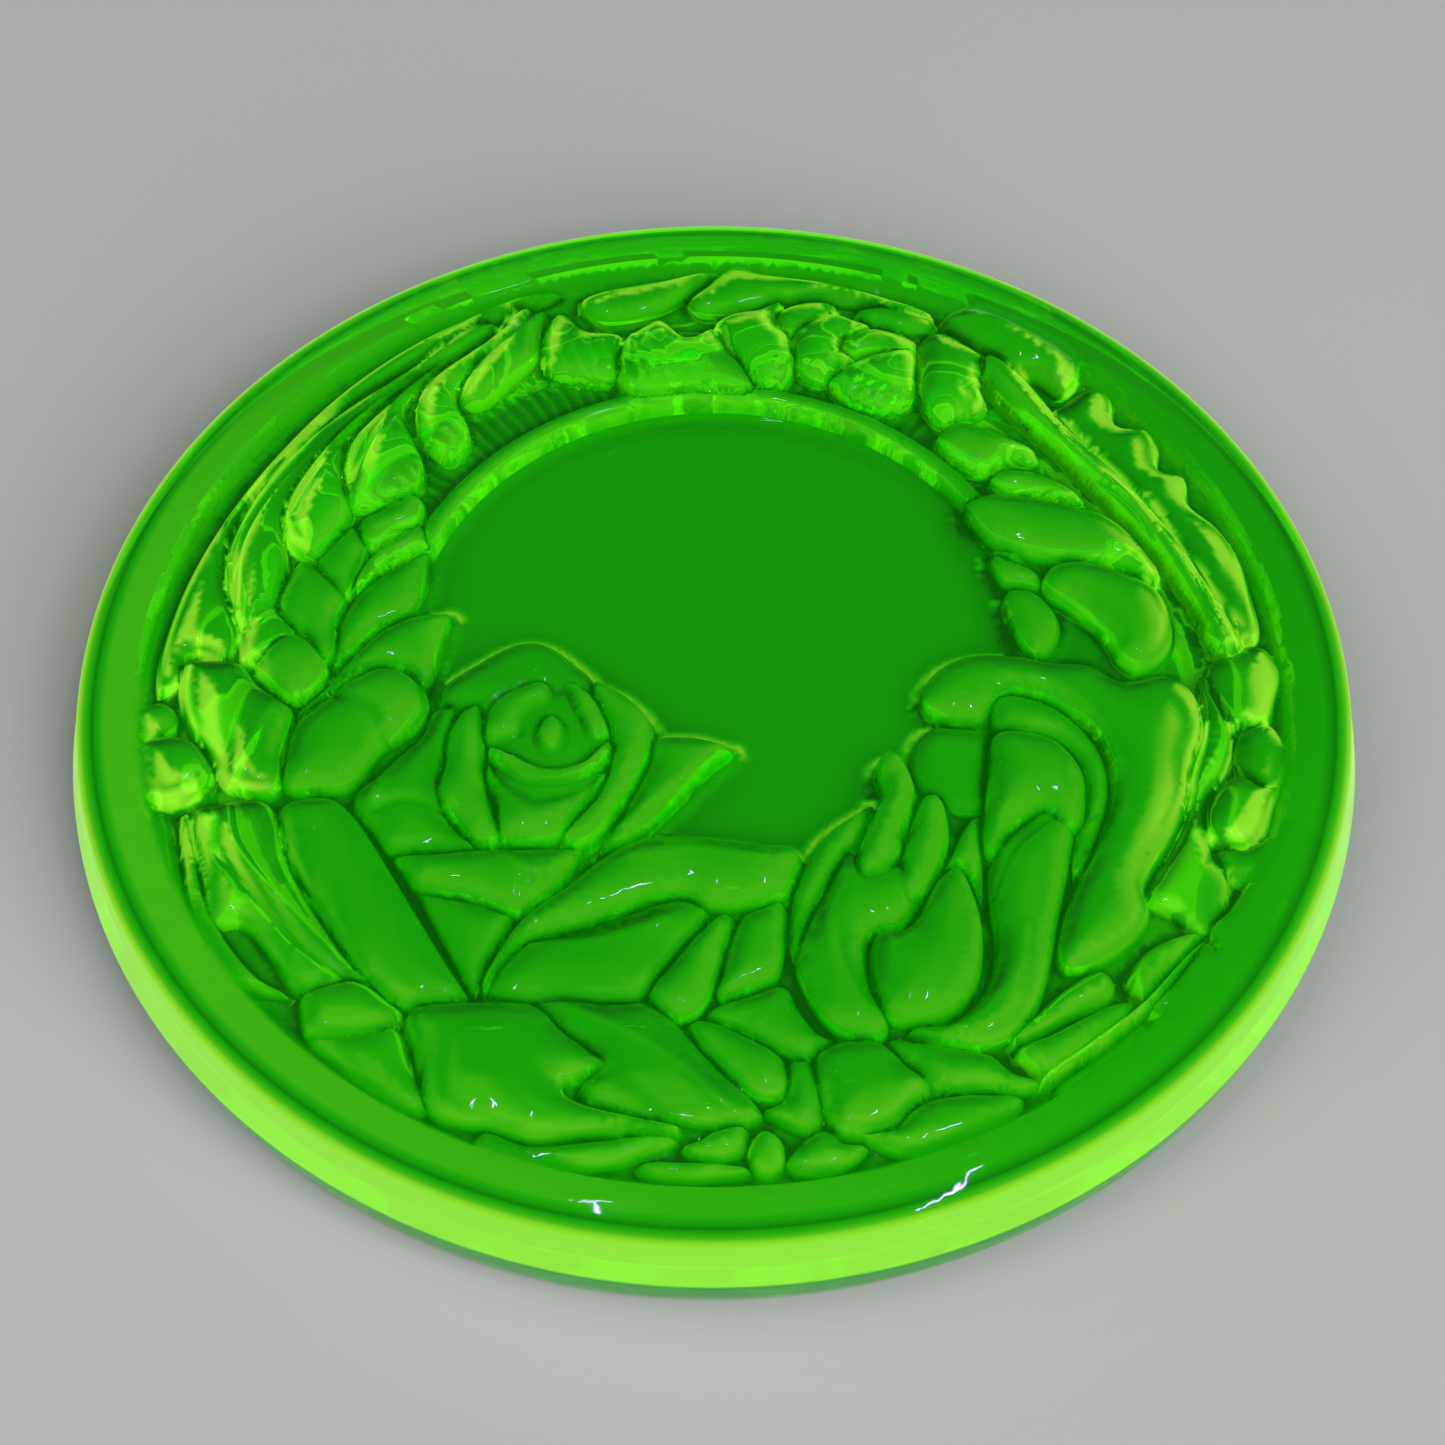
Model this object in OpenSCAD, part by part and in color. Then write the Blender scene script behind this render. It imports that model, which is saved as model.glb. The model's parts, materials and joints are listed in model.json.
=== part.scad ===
// Round pressed-glass dish with a rose, scroll and acanthus relief round a plain well.
// Millimetres. Origin under the middle of the foot, +Z up, -Y towards the holder.
// The outlines below are drawn for a dish of draw_d; everything across follows dish_d.

/* [Dish] */
// Widest diameter, at the mould seam
dish_d = 140; // [110:1:180]
// Height of the mould seam above the table
seam_z = 4.6; // [3:0.1:7]
// Height of the top corner of the edge
rim_z = 11.2; // [9:0.1:15]
// How far the top corner lies inside the seam
rim_inset = 0.9; // [0.2:0.1:2]
// How far the bottom corner lies inside the seam
foot_inset = 1.1; // [0.4:0.1:3]
// Height of the ground the relief stands on
ground_z = 10.6; // [8:0.1:14]
// How much higher the shoulder crest is than the top corner
shoulder_rise = 1.4; // [0.5:0.1:4]
// Width of the plain shoulder round the relief
shoulder_w = 6.0; // [3:0.1:9]

/* [Underside] */
// Width of the flat ring the dish rests on
foot_w = 8.5; // [4:0.1:14]
// Depth of the hollow inside the foot ring
hollow_depth = 7.0; // [2:0.1:8.5]
// Width of the slope from the foot ring up to the hollow's flat middle
hollow_slope_w = 11; // [8:0.5:34]

/* [Well] */
// Radius of the plain round well inside its bead
well_r = 33.4; // [24:0.1:38]
// How far the well is sunk into the ground
well_depth = 0.7; // [0.3:0.1:2]
// Well centre to the right of the dish centre
well_x = 0; // [-4:0.1:4]
// Well centre beyond the dish centre
well_y = 8.8; // [4:0.1:16]
// Width of the raised bead round the well
bead_w = 1.4; // [1:0.1:4]
// Height of the bead above the ground
bead_rise = 1.5; // [0.5:0.1:3]

/* [Relief] */
// Height of the highest petal above the ground
relief_rise = 4.4; // [2:0.1:6]
// Share of its rise that each petal falls from its middle to its farthest tip
petal_fall = 0.5; // [0.2:0.05:0.7]
// Points on each curved stretch of an outline
curve_steps = 3; // [2:1:6]

/* [Hidden] */
$fn = 180;
draw_d = 140;
k = dish_d / draw_d;
rim_r = dish_d / 2 - rim_inset;
foot_r = dish_d / 2 - foot_inset;
crest_r = rim_r - shoulder_w;
crest_z = rim_z + shoulder_rise;
foot_ease = 0.5;
foot_in_r = foot_r - foot_w;
slope_steps = 6;
root = 1.2;
glass = [0.35, 0.85, 0.15];

// Each petal or leaf is [share of relief_rise, outline]; a third number 1 marks a sharp point.
rose = [
  [0.62, [[-30, 0], [-25.5, 5.2], [-20, 7.9], [-15.5, 5.3], [-12.4, 0], [-18, -6], [-25, -4]]],
  [0.86, [[-25, -1], [-22.5, 1.3], [-18, 2.3], [-14.5, 1.3], [-11.8, -2], [-10.7, -6], [-11.3, -11],
          [-14, -16.5], [-17, -19.8], [-22.3, -19.8], [-24.3, -13], [-25, -6]]],
  [1.00, [[-17, -1.6], [-15.3, -2.5], [-15, -5], [-16, -8], [-18, -8.3], [-19.4, -6], [-19, -3]]],
  [0.94, [[-24.2, -1.5], [-21, 0.6], [-18.5, -2.6], [-19.6, -6.2], [-24.4, -6.5]]],
  [0.74, [[-25, -1], [-27.5, -2], [-29, -5], [-29.2, -9], [-29.9, -13.5], [-27.5, -17], [-25.3, -19.6],
          [-22.7, -19.4], [-24.2, -12]]],
  [0.56, [[-27, -1], [-30.5, -1.5], [-31.5, -4.8], [-35, -9], [-38.8, -13.5], [-36.5, -17.5],
          [-34, -20.7], [-25.5, -20.3], [-28, -16.5], [-29, -9]]],
  [0.71, [[-13.5, 1.8], [-9.5, 0.2], [-6.9, -3], [-6.4, -5.5], [-7.5, -10], [-10, -15], [-13.5, -19.6],
          [-16.6, -19.4], [-12.6, -13], [-11.2, -6]]],
  [0.48, [[-6.8, -5.4], [-3, -4.8], [0, -5.4], [2.2, -6.5, 1], [-0.5, -9], [-4, -13.5], [-8, -18],
          [-12.5, -20.5, 1], [-9.2, -13.5], [-7.2, -8.5]]],
  [0.66, [[-34.3, -20.9, 1], [-25, -20.1], [-13.9, -19.9, 1], [-15, -23.2], [-17.8, -26.5],
          [-20.5, -28.8, 1], [-25, -27.1], [-31.3, -25.6], [-33, -23]]],
  [0.45, [[-31.6, -25.3, 1], [-27, -26.1], [-21, -28.5, 1], [-22.5, -32.5], [-25, -38.8, 1], [-28, -33]]],
  [0.80, [[-24.2, -38.4], [-22.9, -33.5], [-20, -28.8], [-16, -25.3], [-11.5, -21], [-8, -19], [-4, -18.5],
          [0, -18.9], [5, -19.7], [9.2, -20.8], [8.4, -24.6], [7.3, -26.7], [2.5, -28], [-0.5, -28],
          [-2.8, -26.9], [-5, -26.9], [-10, -29], [-15, -31], [-19.5, -32.6], [-22, -35.8]]],
  [0.58, [[-21.4, -33.2], [-15, -30.6], [-10, -28.7], [-5, -26.6], [-2.4, -26.6], [-0.4, -28.6], [-3, -33],
          [-7.2, -38.6], [-8.4, -39.6], [-15, -39.8], [-23.3, -39.2]]]];

buds = [
  [0.60, [[0.5, -28.5], [2.3, -28.7], [1.2, -33], [0, -38], [-1.5, -41], [-3.5, -42], [-5.5, -41],
          [-7, -38.8], [-4.5, -34.5], [-2, -31]]],
  [0.52, [[2.9, -28.6], [5, -27.4], [7.4, -26.8], [7.7, -31], [7.2, -35.3], [6.5, -36.8], [3.5, -38.1],
          [0.5, -39.2], [1, -35], [1.8, -31]]],
  [0.40, [[0, -39.9], [4, -38.3], [7.4, -37.3], [8.8, -40], [11, -43.3], [12.6, -44.3], [10.5, -46],
          [9.6, -47], [6, -45], [2, -42.5], [-0.8, -41.5]]],
  [0.50, [[-3, -42.6], [-1, -41.6], [3, -43.5], [7, -46.2], [7.9, -49], [7.3, -51.2], [5.5, -51.8],
          [3, -50.5], [0, -47.5]]],
  [0.55, [[17, -13.8, 1], [12, -17.8], [9.8, -21.5], [8.2, -27], [8.4, -34.5], [9.9, -31], [11, -27.5],
          [13.4, -23], [16, -18]]],
  [0.70, [[14.5, -20.5], [17, -22.5], [22.3, -22], [22.3, -26], [19.5, -30.3], [16.8, -31], [16, -34],
          [16.6, -38], [18.2, -43.5], [15, -44.5], [12, -42.8], [9.5, -38.5], [8.4, -34], [9.5, -30.5],
          [11.5, -26]]],
  [0.92, [[18.3, -7.8], [17.3, -9.5], [18, -13], [16.5, -17], [14.8, -22], [15.5, -25], [18, -24.5],
          [20, -21.5], [20.5, -18], [21.8, -14.5], [21.2, -10.5], [19.8, -8]]],
  [0.76, [[22, -13.7], [24, -13.2], [25, -15.5], [25.1, -19], [24.3, -22.5], [22.5, -26.5], [20, -27.5],
          [19.4, -22], [20.6, -18]]],
  [0.88, [[20.2, -30.5], [22, -27.5], [24, -23.8], [25.8, -22.8], [27.2, -25], [28.3, -30], [28.2, -35],
          [26.9, -39], [24, -42], [20, -42.9], [17.8, -41.5], [16.5, -38], [16.3, -34], [17.2, -31]]],
  [0.50, [[28.4, -15.2, 1], [26.8, -16.8], [25.4, -20], [24.4, -23.5], [26.5, -22.6], [28.5, -28.5, 1],
          [28.6, -22]]]];

scroll = [
  [0.30, [[23, -3.8], [27, -3.3], [30, -4.8], [29.6, -8], [28.6, -14.6], [25, -14.6], [22.5, -12.5],
          [21.2, -8]]],
  [0.68, [[22.5, 0], [23.7, 3.3], [27, 5.7], [32, 6], [37, 5], [41, 4.6], [44.5, 2.4], [49, 3.2],
          [52, 1], [53, -4], [51.5, -9], [50.6, -14], [48.4, -19], [45.6, -24.5], [46, -28.5], [44, -32],
          [40, -35], [36.5, -35.4], [36.6, -30], [38.6, -24], [41.5, -17.5], [42.6, -11.5], [41.5, -6],
          [37.5, -1.6], [33, 0.2], [30.3, -1], [29, -2.9], [26, -3.3], [23.5, -2]]],
  [0.50, [[30.6, 0.6], [35, 0.2], [39, -2.8], [41.8, -7.3], [42.6, -12], [41.4, -17.5], [38.6, -23.6],
          [38.2, -20], [39.6, -15], [39.8, -11], [38.3, -7.3], [35.5, -5.2], [31.2, -4.9], [30, -2.8]]],
  [0.90, [[30.2, -5.2], [33.5, -4.8], [37, -6.1], [39.4, -9.3], [40, -13], [38.6, -17.8],
          [35.3, -15.8, 1], [32, -18], [29.3, -21.6], [28.9, -15], [29.5, -9]]],
  [0.64, [[36, -14.6], [32, -17.6], [29.5, -20.8], [29, -26], [29.5, -33], [28.2, -38], [25, -42],
          [20, -43.6], [24, -45.3], [30, -44.8], [33.5, -41], [35.1, -36], [36.4, -29], [37.8, -22],
          [38.4, -17]]]];

volutes = [
  [0.46, [[53.2, 3.5], [55.5, 6.5], [59.5, 7.6], [61.6, 4.5], [61, 0.5], [59.8, -3.3], [56.5, -4.2],
          [54.5, -1]]],
  [0.40, [[57, -3.6], [60, -3], [61.6, -5.5], [61.8, -9], [60, -12.3], [57, -10.5], [56, -7]]],
  [0.50, [[52.4, -17], [53.5, -12.5], [56.5, -10], [59, -11.5], [60.8, -11.2], [59.8, -14], [59, -17],
          [57, -19.8], [54, -19.6]]],
  [0.38, [[53.5, -20], [57, -19.4], [59.6, -18.2], [59, -22], [57.3, -24.8], [54.5, -23.5]]],
  [0.44, [[52, -30.3], [54, -28], [57.6, -24.3], [56.8, -28.4], [55.4, -31], [53, -32.4]]],
  [0.34, [[53.4, 3.8], [52.6, -2], [52, -6], [50.8, -11], [50.5, -15], [49, -19], [46.5, -24],
          [45.5, -26.5], [48, -28], [52, -30.8], [54.4, -27], [54.6, -23], [53, -19], [53.4, -13],
          [55.4, -9], [56.4, -4], [55.4, 0]]]];

crest = [
  [0.55, [[-19.8, 50], [-19, 53.5], [-17.5, 55.3], [-14.5, 52.7], [-10.2, 51.7], [-10.4, 48],
          [-11.2, 45], [-15, 45], [-18.5, 45.8]]],
  [0.42, [[-15.5, 57], [-13, 58.8], [-6, 60.5], [0.6, 61.6], [-1.5, 59], [-4.5, 56.3], [-8, 54.5],
          [-12.5, 53.8], [-14.5, 55]]],
  [0.48, [[2.1, 62.2], [6, 61.3], [13, 60.1], [20, 57.7], [25, 55.2], [24, 54.2], [18, 56], [12, 57],
          [6, 56.2], [2, 54.9], [-2, 55.1], [-3.2, 56.8], [-1, 59.5]]],
  [0.70, [[-10.7, 50.5], [-8, 53.2], [-6, 54], [-3, 51.5], [0, 52.7], [1.4, 50], [3.7, 46.5],
          [4.3, 43.4], [-2, 43.2], [-7, 42.6], [-9.5, 42.6], [-11, 45], [-10.9, 48]]],
  [0.60, [[-0.2, 53], [1.5, 54.9], [5, 55.8], [8, 56.8], [7, 54], [8.6, 52], [9, 49.5], [9, 46.5],
          [7.5, 44], [5, 44], [3.2, 47], [1, 50]]],
  [0.52, [[8.7, 52], [10.5, 54], [13.5, 55.3], [16, 54.3], [18, 53], [15, 51.5], [14.5, 49.8],
          [16, 48.5], [14, 45.8], [12, 44.5], [9.3, 46.5], [8.9, 49.5]]],
  [0.44, [[6.8, 54.5], [8, 56.2], [12, 57.2], [14.2, 56], [12, 54.3], [9.8, 52.1], [8, 52.2]]],
  [0.46, [[14.4, 51], [16, 52.6], [19, 53], [23, 51.1], [23.1, 49.4], [18, 49.1], [15.4, 48.4]]],
  [0.58, [[13, 45.4], [16, 48.2], [20, 49.8], [22.7, 49.6], [22.9, 45], [22.3, 41.8], [19, 40.4],
          [15.5, 41.5], [13.4, 43.4]]],
  [0.40, [[16, 55.7], [20, 56.6], [24.5, 54.9], [25.4, 53.3], [23.8, 51.9], [19, 52.7], [16.5, 54.4]]],
  [0.64, [[23.4, 51], [26, 52.2], [28.7, 50.6], [31.2, 48.3], [30.2, 44.5], [30.6, 41], [28, 39.2],
          [25.5, 38], [24, 40], [23.1, 44], [23.1, 48]]],
  [0.82, [[25.5, 53], [28.5, 55.6], [33, 56.3], [37.5, 54], [40.6, 50], [41.3, 46], [39.2, 43],
          [36.5, 44.8], [33, 45.8], [30.6, 48], [27.6, 50.4]]]];

fan = [
  [0.36, [[-18, 58.5], [-30, 53.6], [-41, 44.7], [-50, 33], [-56.3, 21], [-60, 9], [-60.4, 0.7],
          [-58.5, 2], [-57, 6], [-52.8, 5.5], [-52.3, 11], [-53.8, 17], [-53.3, 24], [-48.8, 32],
          [-41.8, 40], [-33, 47.8], [-25, 53.3]]],
  [0.50, [[-24.6, 53.4], [-35, 46.7], [-44.2, 38.2], [-50.7, 29.2], [-54, 20], [-53.7, 13], [-51, 9],
          [-48, 12.8], [-46.8, 18], [-47.6, 24], [-45.3, 31], [-40.8, 38], [-33.6, 45.2]]],
  [0.62, [[-23.4, 53.9], [-33, 46.9], [-40.9, 39.2], [-46.2, 31.2], [-48.2, 25.5], [-47.3, 22],
          [-45.5, 19.8], [-43.5, 20], [-40.3, 25.5], [-41.2, 31], [-40.7, 36], [-36.6, 42],
          [-29.6, 49]]],
  [0.56, [[-22, 54.6], [-30.2, 48.7], [-37.2, 41.6], [-41.3, 35.5], [-41.6, 30], [-40.5, 26.5],
          [-37.5, 26.8], [-33, 28.8], [-32.3, 32], [-33.8, 37], [-35, 40], [-32.6, 44.5],
          [-26.6, 50.7]]],
  [0.66, [[-20.5, 55.2], [-27.2, 50.1], [-33, 44], [-33.4, 39], [-32.3, 35.5], [-30, 33.2],
          [-28, 34.5], [-27.3, 37.5], [-29, 43], [-26, 48]]],
  [0.58, [[-19.2, 55.6], [-24.3, 51.6], [-28, 46], [-28.6, 41.5], [-26, 41.3], [-22.5, 45],
          [-20, 48.3], [-19.8, 52]]]];

band = [
  [0.45, [[37, 39], [40.3, 42.8], [42.6, 44.2], [44.8, 42.8], [45.3, 39], [48.6, 38.2], [49.8, 35.8],
          [49.8, 32.5], [52.6, 31.3], [53, 27.5], [55.8, 24.3], [58, 20], [59.2, 14], [59.4, 8.5],
          [56.5, 7.5], [54, 6], [54, 12], [51.4, 19], [47, 27.5], [41.5, 34.5]]],
  [0.78, [[30.8, 48.4], [35, 45], [40.3, 37], [46.5, 29.3], [51.5, 21.5], [55.2, 13.5], [57.6, 6.8],
          [54.8, 5.8], [52.4, 12], [48.6, 19.6], [43.6, 27], [37.5, 35], [32.3, 41.6], [30.4, 45]]],
  [0.60, [[24.8, 36], [27, 39], [30, 38.4], [33, 37], [36.3, 34], [33, 33.4], [30, 31.5],
          [27.5, 32.5]]],
  [0.46, [[30.7, 30.7], [32.5, 32.3], [37, 31.5], [41.5, 27.3], [38, 27.8], [32.5, 28.8]]],
  [0.66, [[27.8, 26.5], [28.8, 28], [32, 28.6], [38, 27.5], [43.6, 25.5], [47.6, 21], [49.3, 16.8],
          [48, 15.8], [44, 18.3], [39, 18.8], [35, 19.6], [31.5, 20.8], [29, 23.5]]],
  [0.72, [[36, 16.3], [37.5, 18.4], [41, 18.9], [45.5, 17.2], [49, 14.7], [50.3, 10], [49.4, 6],
          [46.5, 3.6], [44, 5], [43.3, 7], [41.8, 9.2], [38.8, 12.2], [36.6, 14]]],
  [0.42, [[30.5, 20], [33, 19.5], [36.2, 17.2], [35.8, 15.2], [33.5, 15.4], [31.8, 15.8]]],
  [0.50, [[32, 14.8], [34.5, 15.2], [36.3, 14], [38, 10.5], [37, 7], [35, 5.6], [33.2, 8],
          [32.3, 11]]]];

left_leaves = [
  [0.60, [[-46.5, -14.5], [-44, -13.2], [-41, -13.2], [-38.8, -15], [-36, -19.5], [-32, -27],
          [-28, -34.5], [-25.3, -39.3, 1], [-31, -40.5], [-36, -37.5], [-40.5, -31], [-44.5, -23],
          [-46.3, -18]]],
  [0.72, [[-45, -3], [-41, 0.8], [-38, 3.5], [-35, 4.1], [-32, 2.3], [-30.7, -1], [-31.8, -4],
          [-35.5, -7], [-38.8, -12], [-42, -12.8], [-46, -12.3], [-46.2, -7]]],
  [0.82, [[-38, 3.3], [-35, 3.9], [-32.2, 2.2], [-31, -1], [-32, -3.8], [-35.3, -6.5], [-37, -5],
          [-39.5, -3], [-41.6, -0.3]]],
  [0.54, [[-45.5, -2.6], [-42.5, 1.5], [-39.5, 6], [-36.5, 9.5], [-33, 11.5], [-28.8, 12.1, 1],
          [-30, 6.5], [-31.4, 1.2], [-33, 3.2], [-36.5, 3.8], [-40, 1.6], [-43, -1.4]]],
  [0.44, [[-44.5, -1.5], [-41.8, 4], [-41.3, 10], [-39, 15], [-35, 18.8], [-31.4, 20.8, 1],
          [-31.8, 16], [-33.4, 11.6], [-37, 9.3], [-40.5, 4.7]]],
  [0.56, [[-40, 14.5], [-38.5, 19], [-35, 22.5], [-32.3, 24.5, 1], [-31.4, 20.9, 1], [-35, 18.9],
          [-38.8, 15]]],
  [0.48, [[-39.5, 24.5], [-37, 26.6], [-33, 28.5], [-32.3, 25], [-35, 23], [-38, 21]]],
  [0.40, [[-44, 19.5], [-40.5, 24.2], [-39.5, 24], [-38.3, 20.8], [-39.8, 14.5], [-41, 13.8],
          [-44, 18]]],
  [0.52, [[-48, 12.5], [-47.2, 17], [-45.5, 19.3], [-43.8, 18.3], [-40.3, 14], [-41, 11], [-42, 5],
          [-45, 8.5]]],
  [0.68, [[-50, 4.5], [-48, 8], [-45, 8.5], [-42, 4.6], [-42.5, 1.5], [-44.5, -0.4], [-46.5, 0],
          [-48.5, 2.3]]],
  [0.46, [[-52, 8], [-51.5, 12.5], [-48.5, 13.6], [-47.6, 12], [-45.5, 8.7], [-49, 4.8],
          [-51.5, 5.5]]],
  [0.50, [[-54, -14], [-51, -13.2], [-48, -13.5], [-46.1, -16.5], [-45.3, -21], [-42, -28],
          [-38, -34.3], [-36, -37.1], [-38, -37], [-43, -38.5], [-46.5, -34], [-50, -29.5],
          [-53, -29.5], [-55, -22], [-56.2, -15]]],
  [0.36, [[-60, -15.5], [-58.3, -14.8], [-57, -20], [-55, -28], [-53, -33], [-51.4, -36.4, 1],
          [-55, -33.6], [-57.8, -28.4], [-59.8, -23], [-60.4, -18.5]]],
  [0.42, [[-57, -15], [-56, -15], [-54.5, -23], [-52.5, -29.3], [-48, -36], [-44, -38.7, 1],
          [-50, -37], [-54, -31.5], [-56.3, -24]]]];

knob = [
  [0.50, [[-63, -2.8], [-62.2, -1], [-60.4, -0.3], [-58.6, -1], [-57.9, -2.8], [-58.6, -4.7],
          [-60.4, -5.6], [-62.2, -4.7]]],
  [0.74, [[-62.6, -8.6], [-61.6, -6], [-58, -5.2], [-55.4, -6.5], [-53.6, -10.4], [-54.2, -12],
          [-57, -13.8], [-59.4, -14.2], [-61.8, -12]]],
  [0.62, [[-58, 4.8], [-55, 5.4], [-51.5, 4.9], [-49.5, 2], [-47.3, 0.2], [-45.4, -2], [-46.3, -7],
          [-47, -12.4], [-52, -12], [-53.5, -10], [-55.8, -6], [-57.5, -2]]],
  [0.54, [[-43, -38.5], [-40, -37], [-37, -36.8], [-33.5, -39.7], [-32.3, -41], [-33, -42.8],
          [-38, -44.3], [-42.3, -44.1], [-43.2, -41]]]];

low_leaves = [
  [0.66, [[-32, -40.9], [-25, -39.5], [-18.5, -39.9], [-15.5, -43.3], [-11, -47], [-10.8, -48],
          [-15.5, -50.2], [-14, -52], [-8, -53.8], [-3, -55.2], [-4, -56.2], [-12, -56], [-19, -56.6],
          [-22.5, -55.3], [-26, -55], [-29.5, -53], [-31, -47]]],
  [0.52, [[-19, -39.6], [-10, -39.5], [-6.5, -39.6], [-3, -43], [0.5, -47.5], [4, -51.5], [5, -54],
          [1.5, -55.2], [-4, -54.6], [-10, -53], [-14, -51], [-12.6, -47.6], [-16, -43]]],
  [0.40, [[-24, -55.3], [-19, -57], [-12, -56.4], [-4, -56.1], [-8, -58.8], [-13, -60.2],
          [-20, -59.3], [-24.4, -57.4]]],
  [0.48, [[-3.5, -57.6], [-1.5, -56.4], [0, -55.3], [3.4, -55], [3.1, -58], [1, -59.2],
          [-1.5, -59]]],
  [0.34, [[-8, -59.6], [-3, -58.9], [3, -59.4], [4.5, -60.4], [0, -61.4], [-5, -61.2]]],
  [0.58, [[3.5, -57.5], [5, -55.4], [7, -56.6], [7.3, -59], [6, -61], [4, -60.6]]],
  [0.62, [[10.3, -47], [12, -44.9], [15, -44.2], [18, -44.8], [20, -47.3], [22.5, -50],
          [20.5, -53], [18.5, -55], [15, -56.3], [12.5, -56], [11.3, -53]]],
  [0.44, [[17.6, -44.6], [22.5, -44.2], [26, -45.1], [29, -46], [31, -48], [34, -49.7],
          [31.5, -51], [27, -51], [23, -51], [20.3, -48]]],
  [0.50, [[20, -53], [23, -51.3], [28, -50.8], [32, -51.5], [30.8, -53.8], [28.6, -55.4],
          [24, -57.4], [20.5, -58.6], [17, -57.4], [15, -56], [18.5, -55]]],
  [0.38, [[7.6, -47], [10.2, -46.8], [11.2, -52], [10.4, -55.4], [7, -54.4], [5, -53],
          [7.2, -51.4]]],
  [0.42, [[-42.5, -43.8], [-40, -43.6], [-36, -43], [-33, -42.3], [-31.3, -47], [-29.6, -52.8],
          [-32, -52.9], [-35, -51], [-39, -47.4]]],
  [0.36, [[7.5, -59.6], [9.5, -56], [11.6, -55], [13.6, -56.6], [16, -57], [14, -59.6],
          [10.5, -60.8]]]];

ribbed_leaf = [
  [0.56, [[43, -36.8], [45, -33.5], [48, -31.5], [52, -30.4, 1], [50.2, -33], [47.7, -36.5],
          [45.2, -40], [43.5, -38.5]]],
  [0.48, [[30.5, -45], [34, -40.5], [37, -37.5], [40.5, -35.5], [42, -37], [41.3, -39.3],
          [38, -41], [33, -44.3]]],
  [0.60, [[31, -45.9], [35, -43.6], [39, -41.2], [42.5, -39.6], [44.7, -40.3], [41.2, -44],
          [36.2, -48.5], [34.3, -49.4], [32.3, -47.5]]],
  [0.44, [[45, -40.8], [47.5, -37.2], [50, -33.6], [52, -31.6], [52.4, -35], [50.3, -38.4],
          [47.6, -40.8]]],
  [0.36, [[35, -50.2], [40, -46], [44.3, -42.2], [45.2, -42.3], [42.8, -46.3], [40, -49.3],
          [37.4, -51.2]]],
  [0.70, [[33.6, -50.4], [39, -46.6], [45, -41.2], [49.5, -35.4], [52.6, -30.4, 1], [48.7, -35],
          [44.2, -40.4], [38.4, -45.6], [34.2, -49]]]];

motifs = [rose, buds, scroll, volutes, crest, fan, band, left_leaves, knob, low_leaves, ribbed_leaf];

function hollow_point(t) =
  [foot_in_r - hollow_slope_w * (1 - t), hollow_depth * (1 - t * t * (3 - 2 * t))];
function total(o, i = 0) = i == len(o) ? [0, 0] : spot(o[i]) + total(o, i + 1);
function middle(o) = total(o) / len(o);
function span(o) = max([for (p = o) norm(spot(p) - middle(o))]);
function way(a, b) = let (d = [b[0] - a[0], b[1] - a[1]]) d / max(norm(d), 0.001);
function reach(a, b) = norm([b[0] - a[0], b[1] - a[1]]);
function at(o, i) = o[(i + len(o)) % len(o)];
function sharp(p) = len(p) == 3;
function lead(o, i) = sharp(at(o, i)) ? way(at(o, i), at(o, i + 1)) : way(at(o, i - 1), at(o, i + 1));
function trail(o, i) = sharp(at(o, i)) ? way(at(o, i - 1), at(o, i)) : way(at(o, i - 1), at(o, i + 1));
function spot(p) = [p[0], p[1]];
function blend(a, ta, b, tb, t) =
  a * (2 * pow(t, 3) - 3 * pow(t, 2) + 1) + ta * (pow(t, 3) - 2 * pow(t, 2) + t)
  + b * (3 * pow(t, 2) - 2 * pow(t, 3)) + tb * (pow(t, 3) - pow(t, 2));
function smooth(o) = [
  for (i = [0 : len(o) - 1], s = [0 : curve_steps - 1])
    let (a = at(o, i), b = at(o, i + 1), r = reach(a, b))
      blend(spot(a), lead(o, i) * r, spot(b), trail(o, i + 1) * r, s / curve_steps)];

module glass_dish() {
  color(glass)
  union() {
    difference() {
      dish_body();
      well_cut();
    }
    intersection() {
      well_bead();
      bead_limit();
    }
    for (set = motifs, petal = set) raised_petal(petal);
  }
}

// Edge, shoulder, ground and hollow foot, turned as one outline.
module dish_body() {
  rotate_extrude()
  polygon([
    [0, hollow_depth],
    for (i = [0 : slope_steps]) hollow_point(i / slope_steps),
    [foot_r - foot_ease, 0], [foot_r, foot_ease], [dish_d / 2, seam_z], [rim_r, rim_z],
    [rim_r - shoulder_w / 2, rim_z + shoulder_rise * 0.62], [crest_r, crest_z],
    [crest_r - shoulder_rise, ground_z], [0, ground_z]]);
}

module well_cut() {
  translate([well_x * k, well_y * k, ground_z - well_depth])
    cylinder(h = well_depth + root, r = well_r * k);
}

module well_bead() {
  translate([well_x * k, well_y * k, ground_z - root])
  difference() {
    cylinder(h = bead_rise + root, r1 = (well_r + bead_w) * k + bead_rise, r2 = (well_r + bead_w) * k);
    translate([0, 0, -root]) cylinder(h = bead_rise + root * 3, r = well_r * k);
  }
}

// The bead runs round the far side only; nearer the petals take its place.
module bead_limit() {
  translate([-dish_d / 2, well_y * k, 0]) cube([dish_d, dish_d, crest_z * 2]);
}

// Each petal is its outline carried up and rounded off by a large sphere.
module raised_petal(petal) {
  mid = middle(petal[1]) * k;
  rise = relief_rise * petal[0];
  far = span(petal[1]) * k;
  fall = rise * petal_fall;
  ball_r = (far * far + fall * fall) / (2 * fall);
  intersection() {
    translate([0, 0, ground_z - root])
      linear_extrude(height = root + rise)
        scale([k, k]) polygon(smooth(petal[1]));
    translate([mid[0], mid[1], ground_z + rise - ball_r]) sphere(r = ball_r);
  }
}

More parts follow.
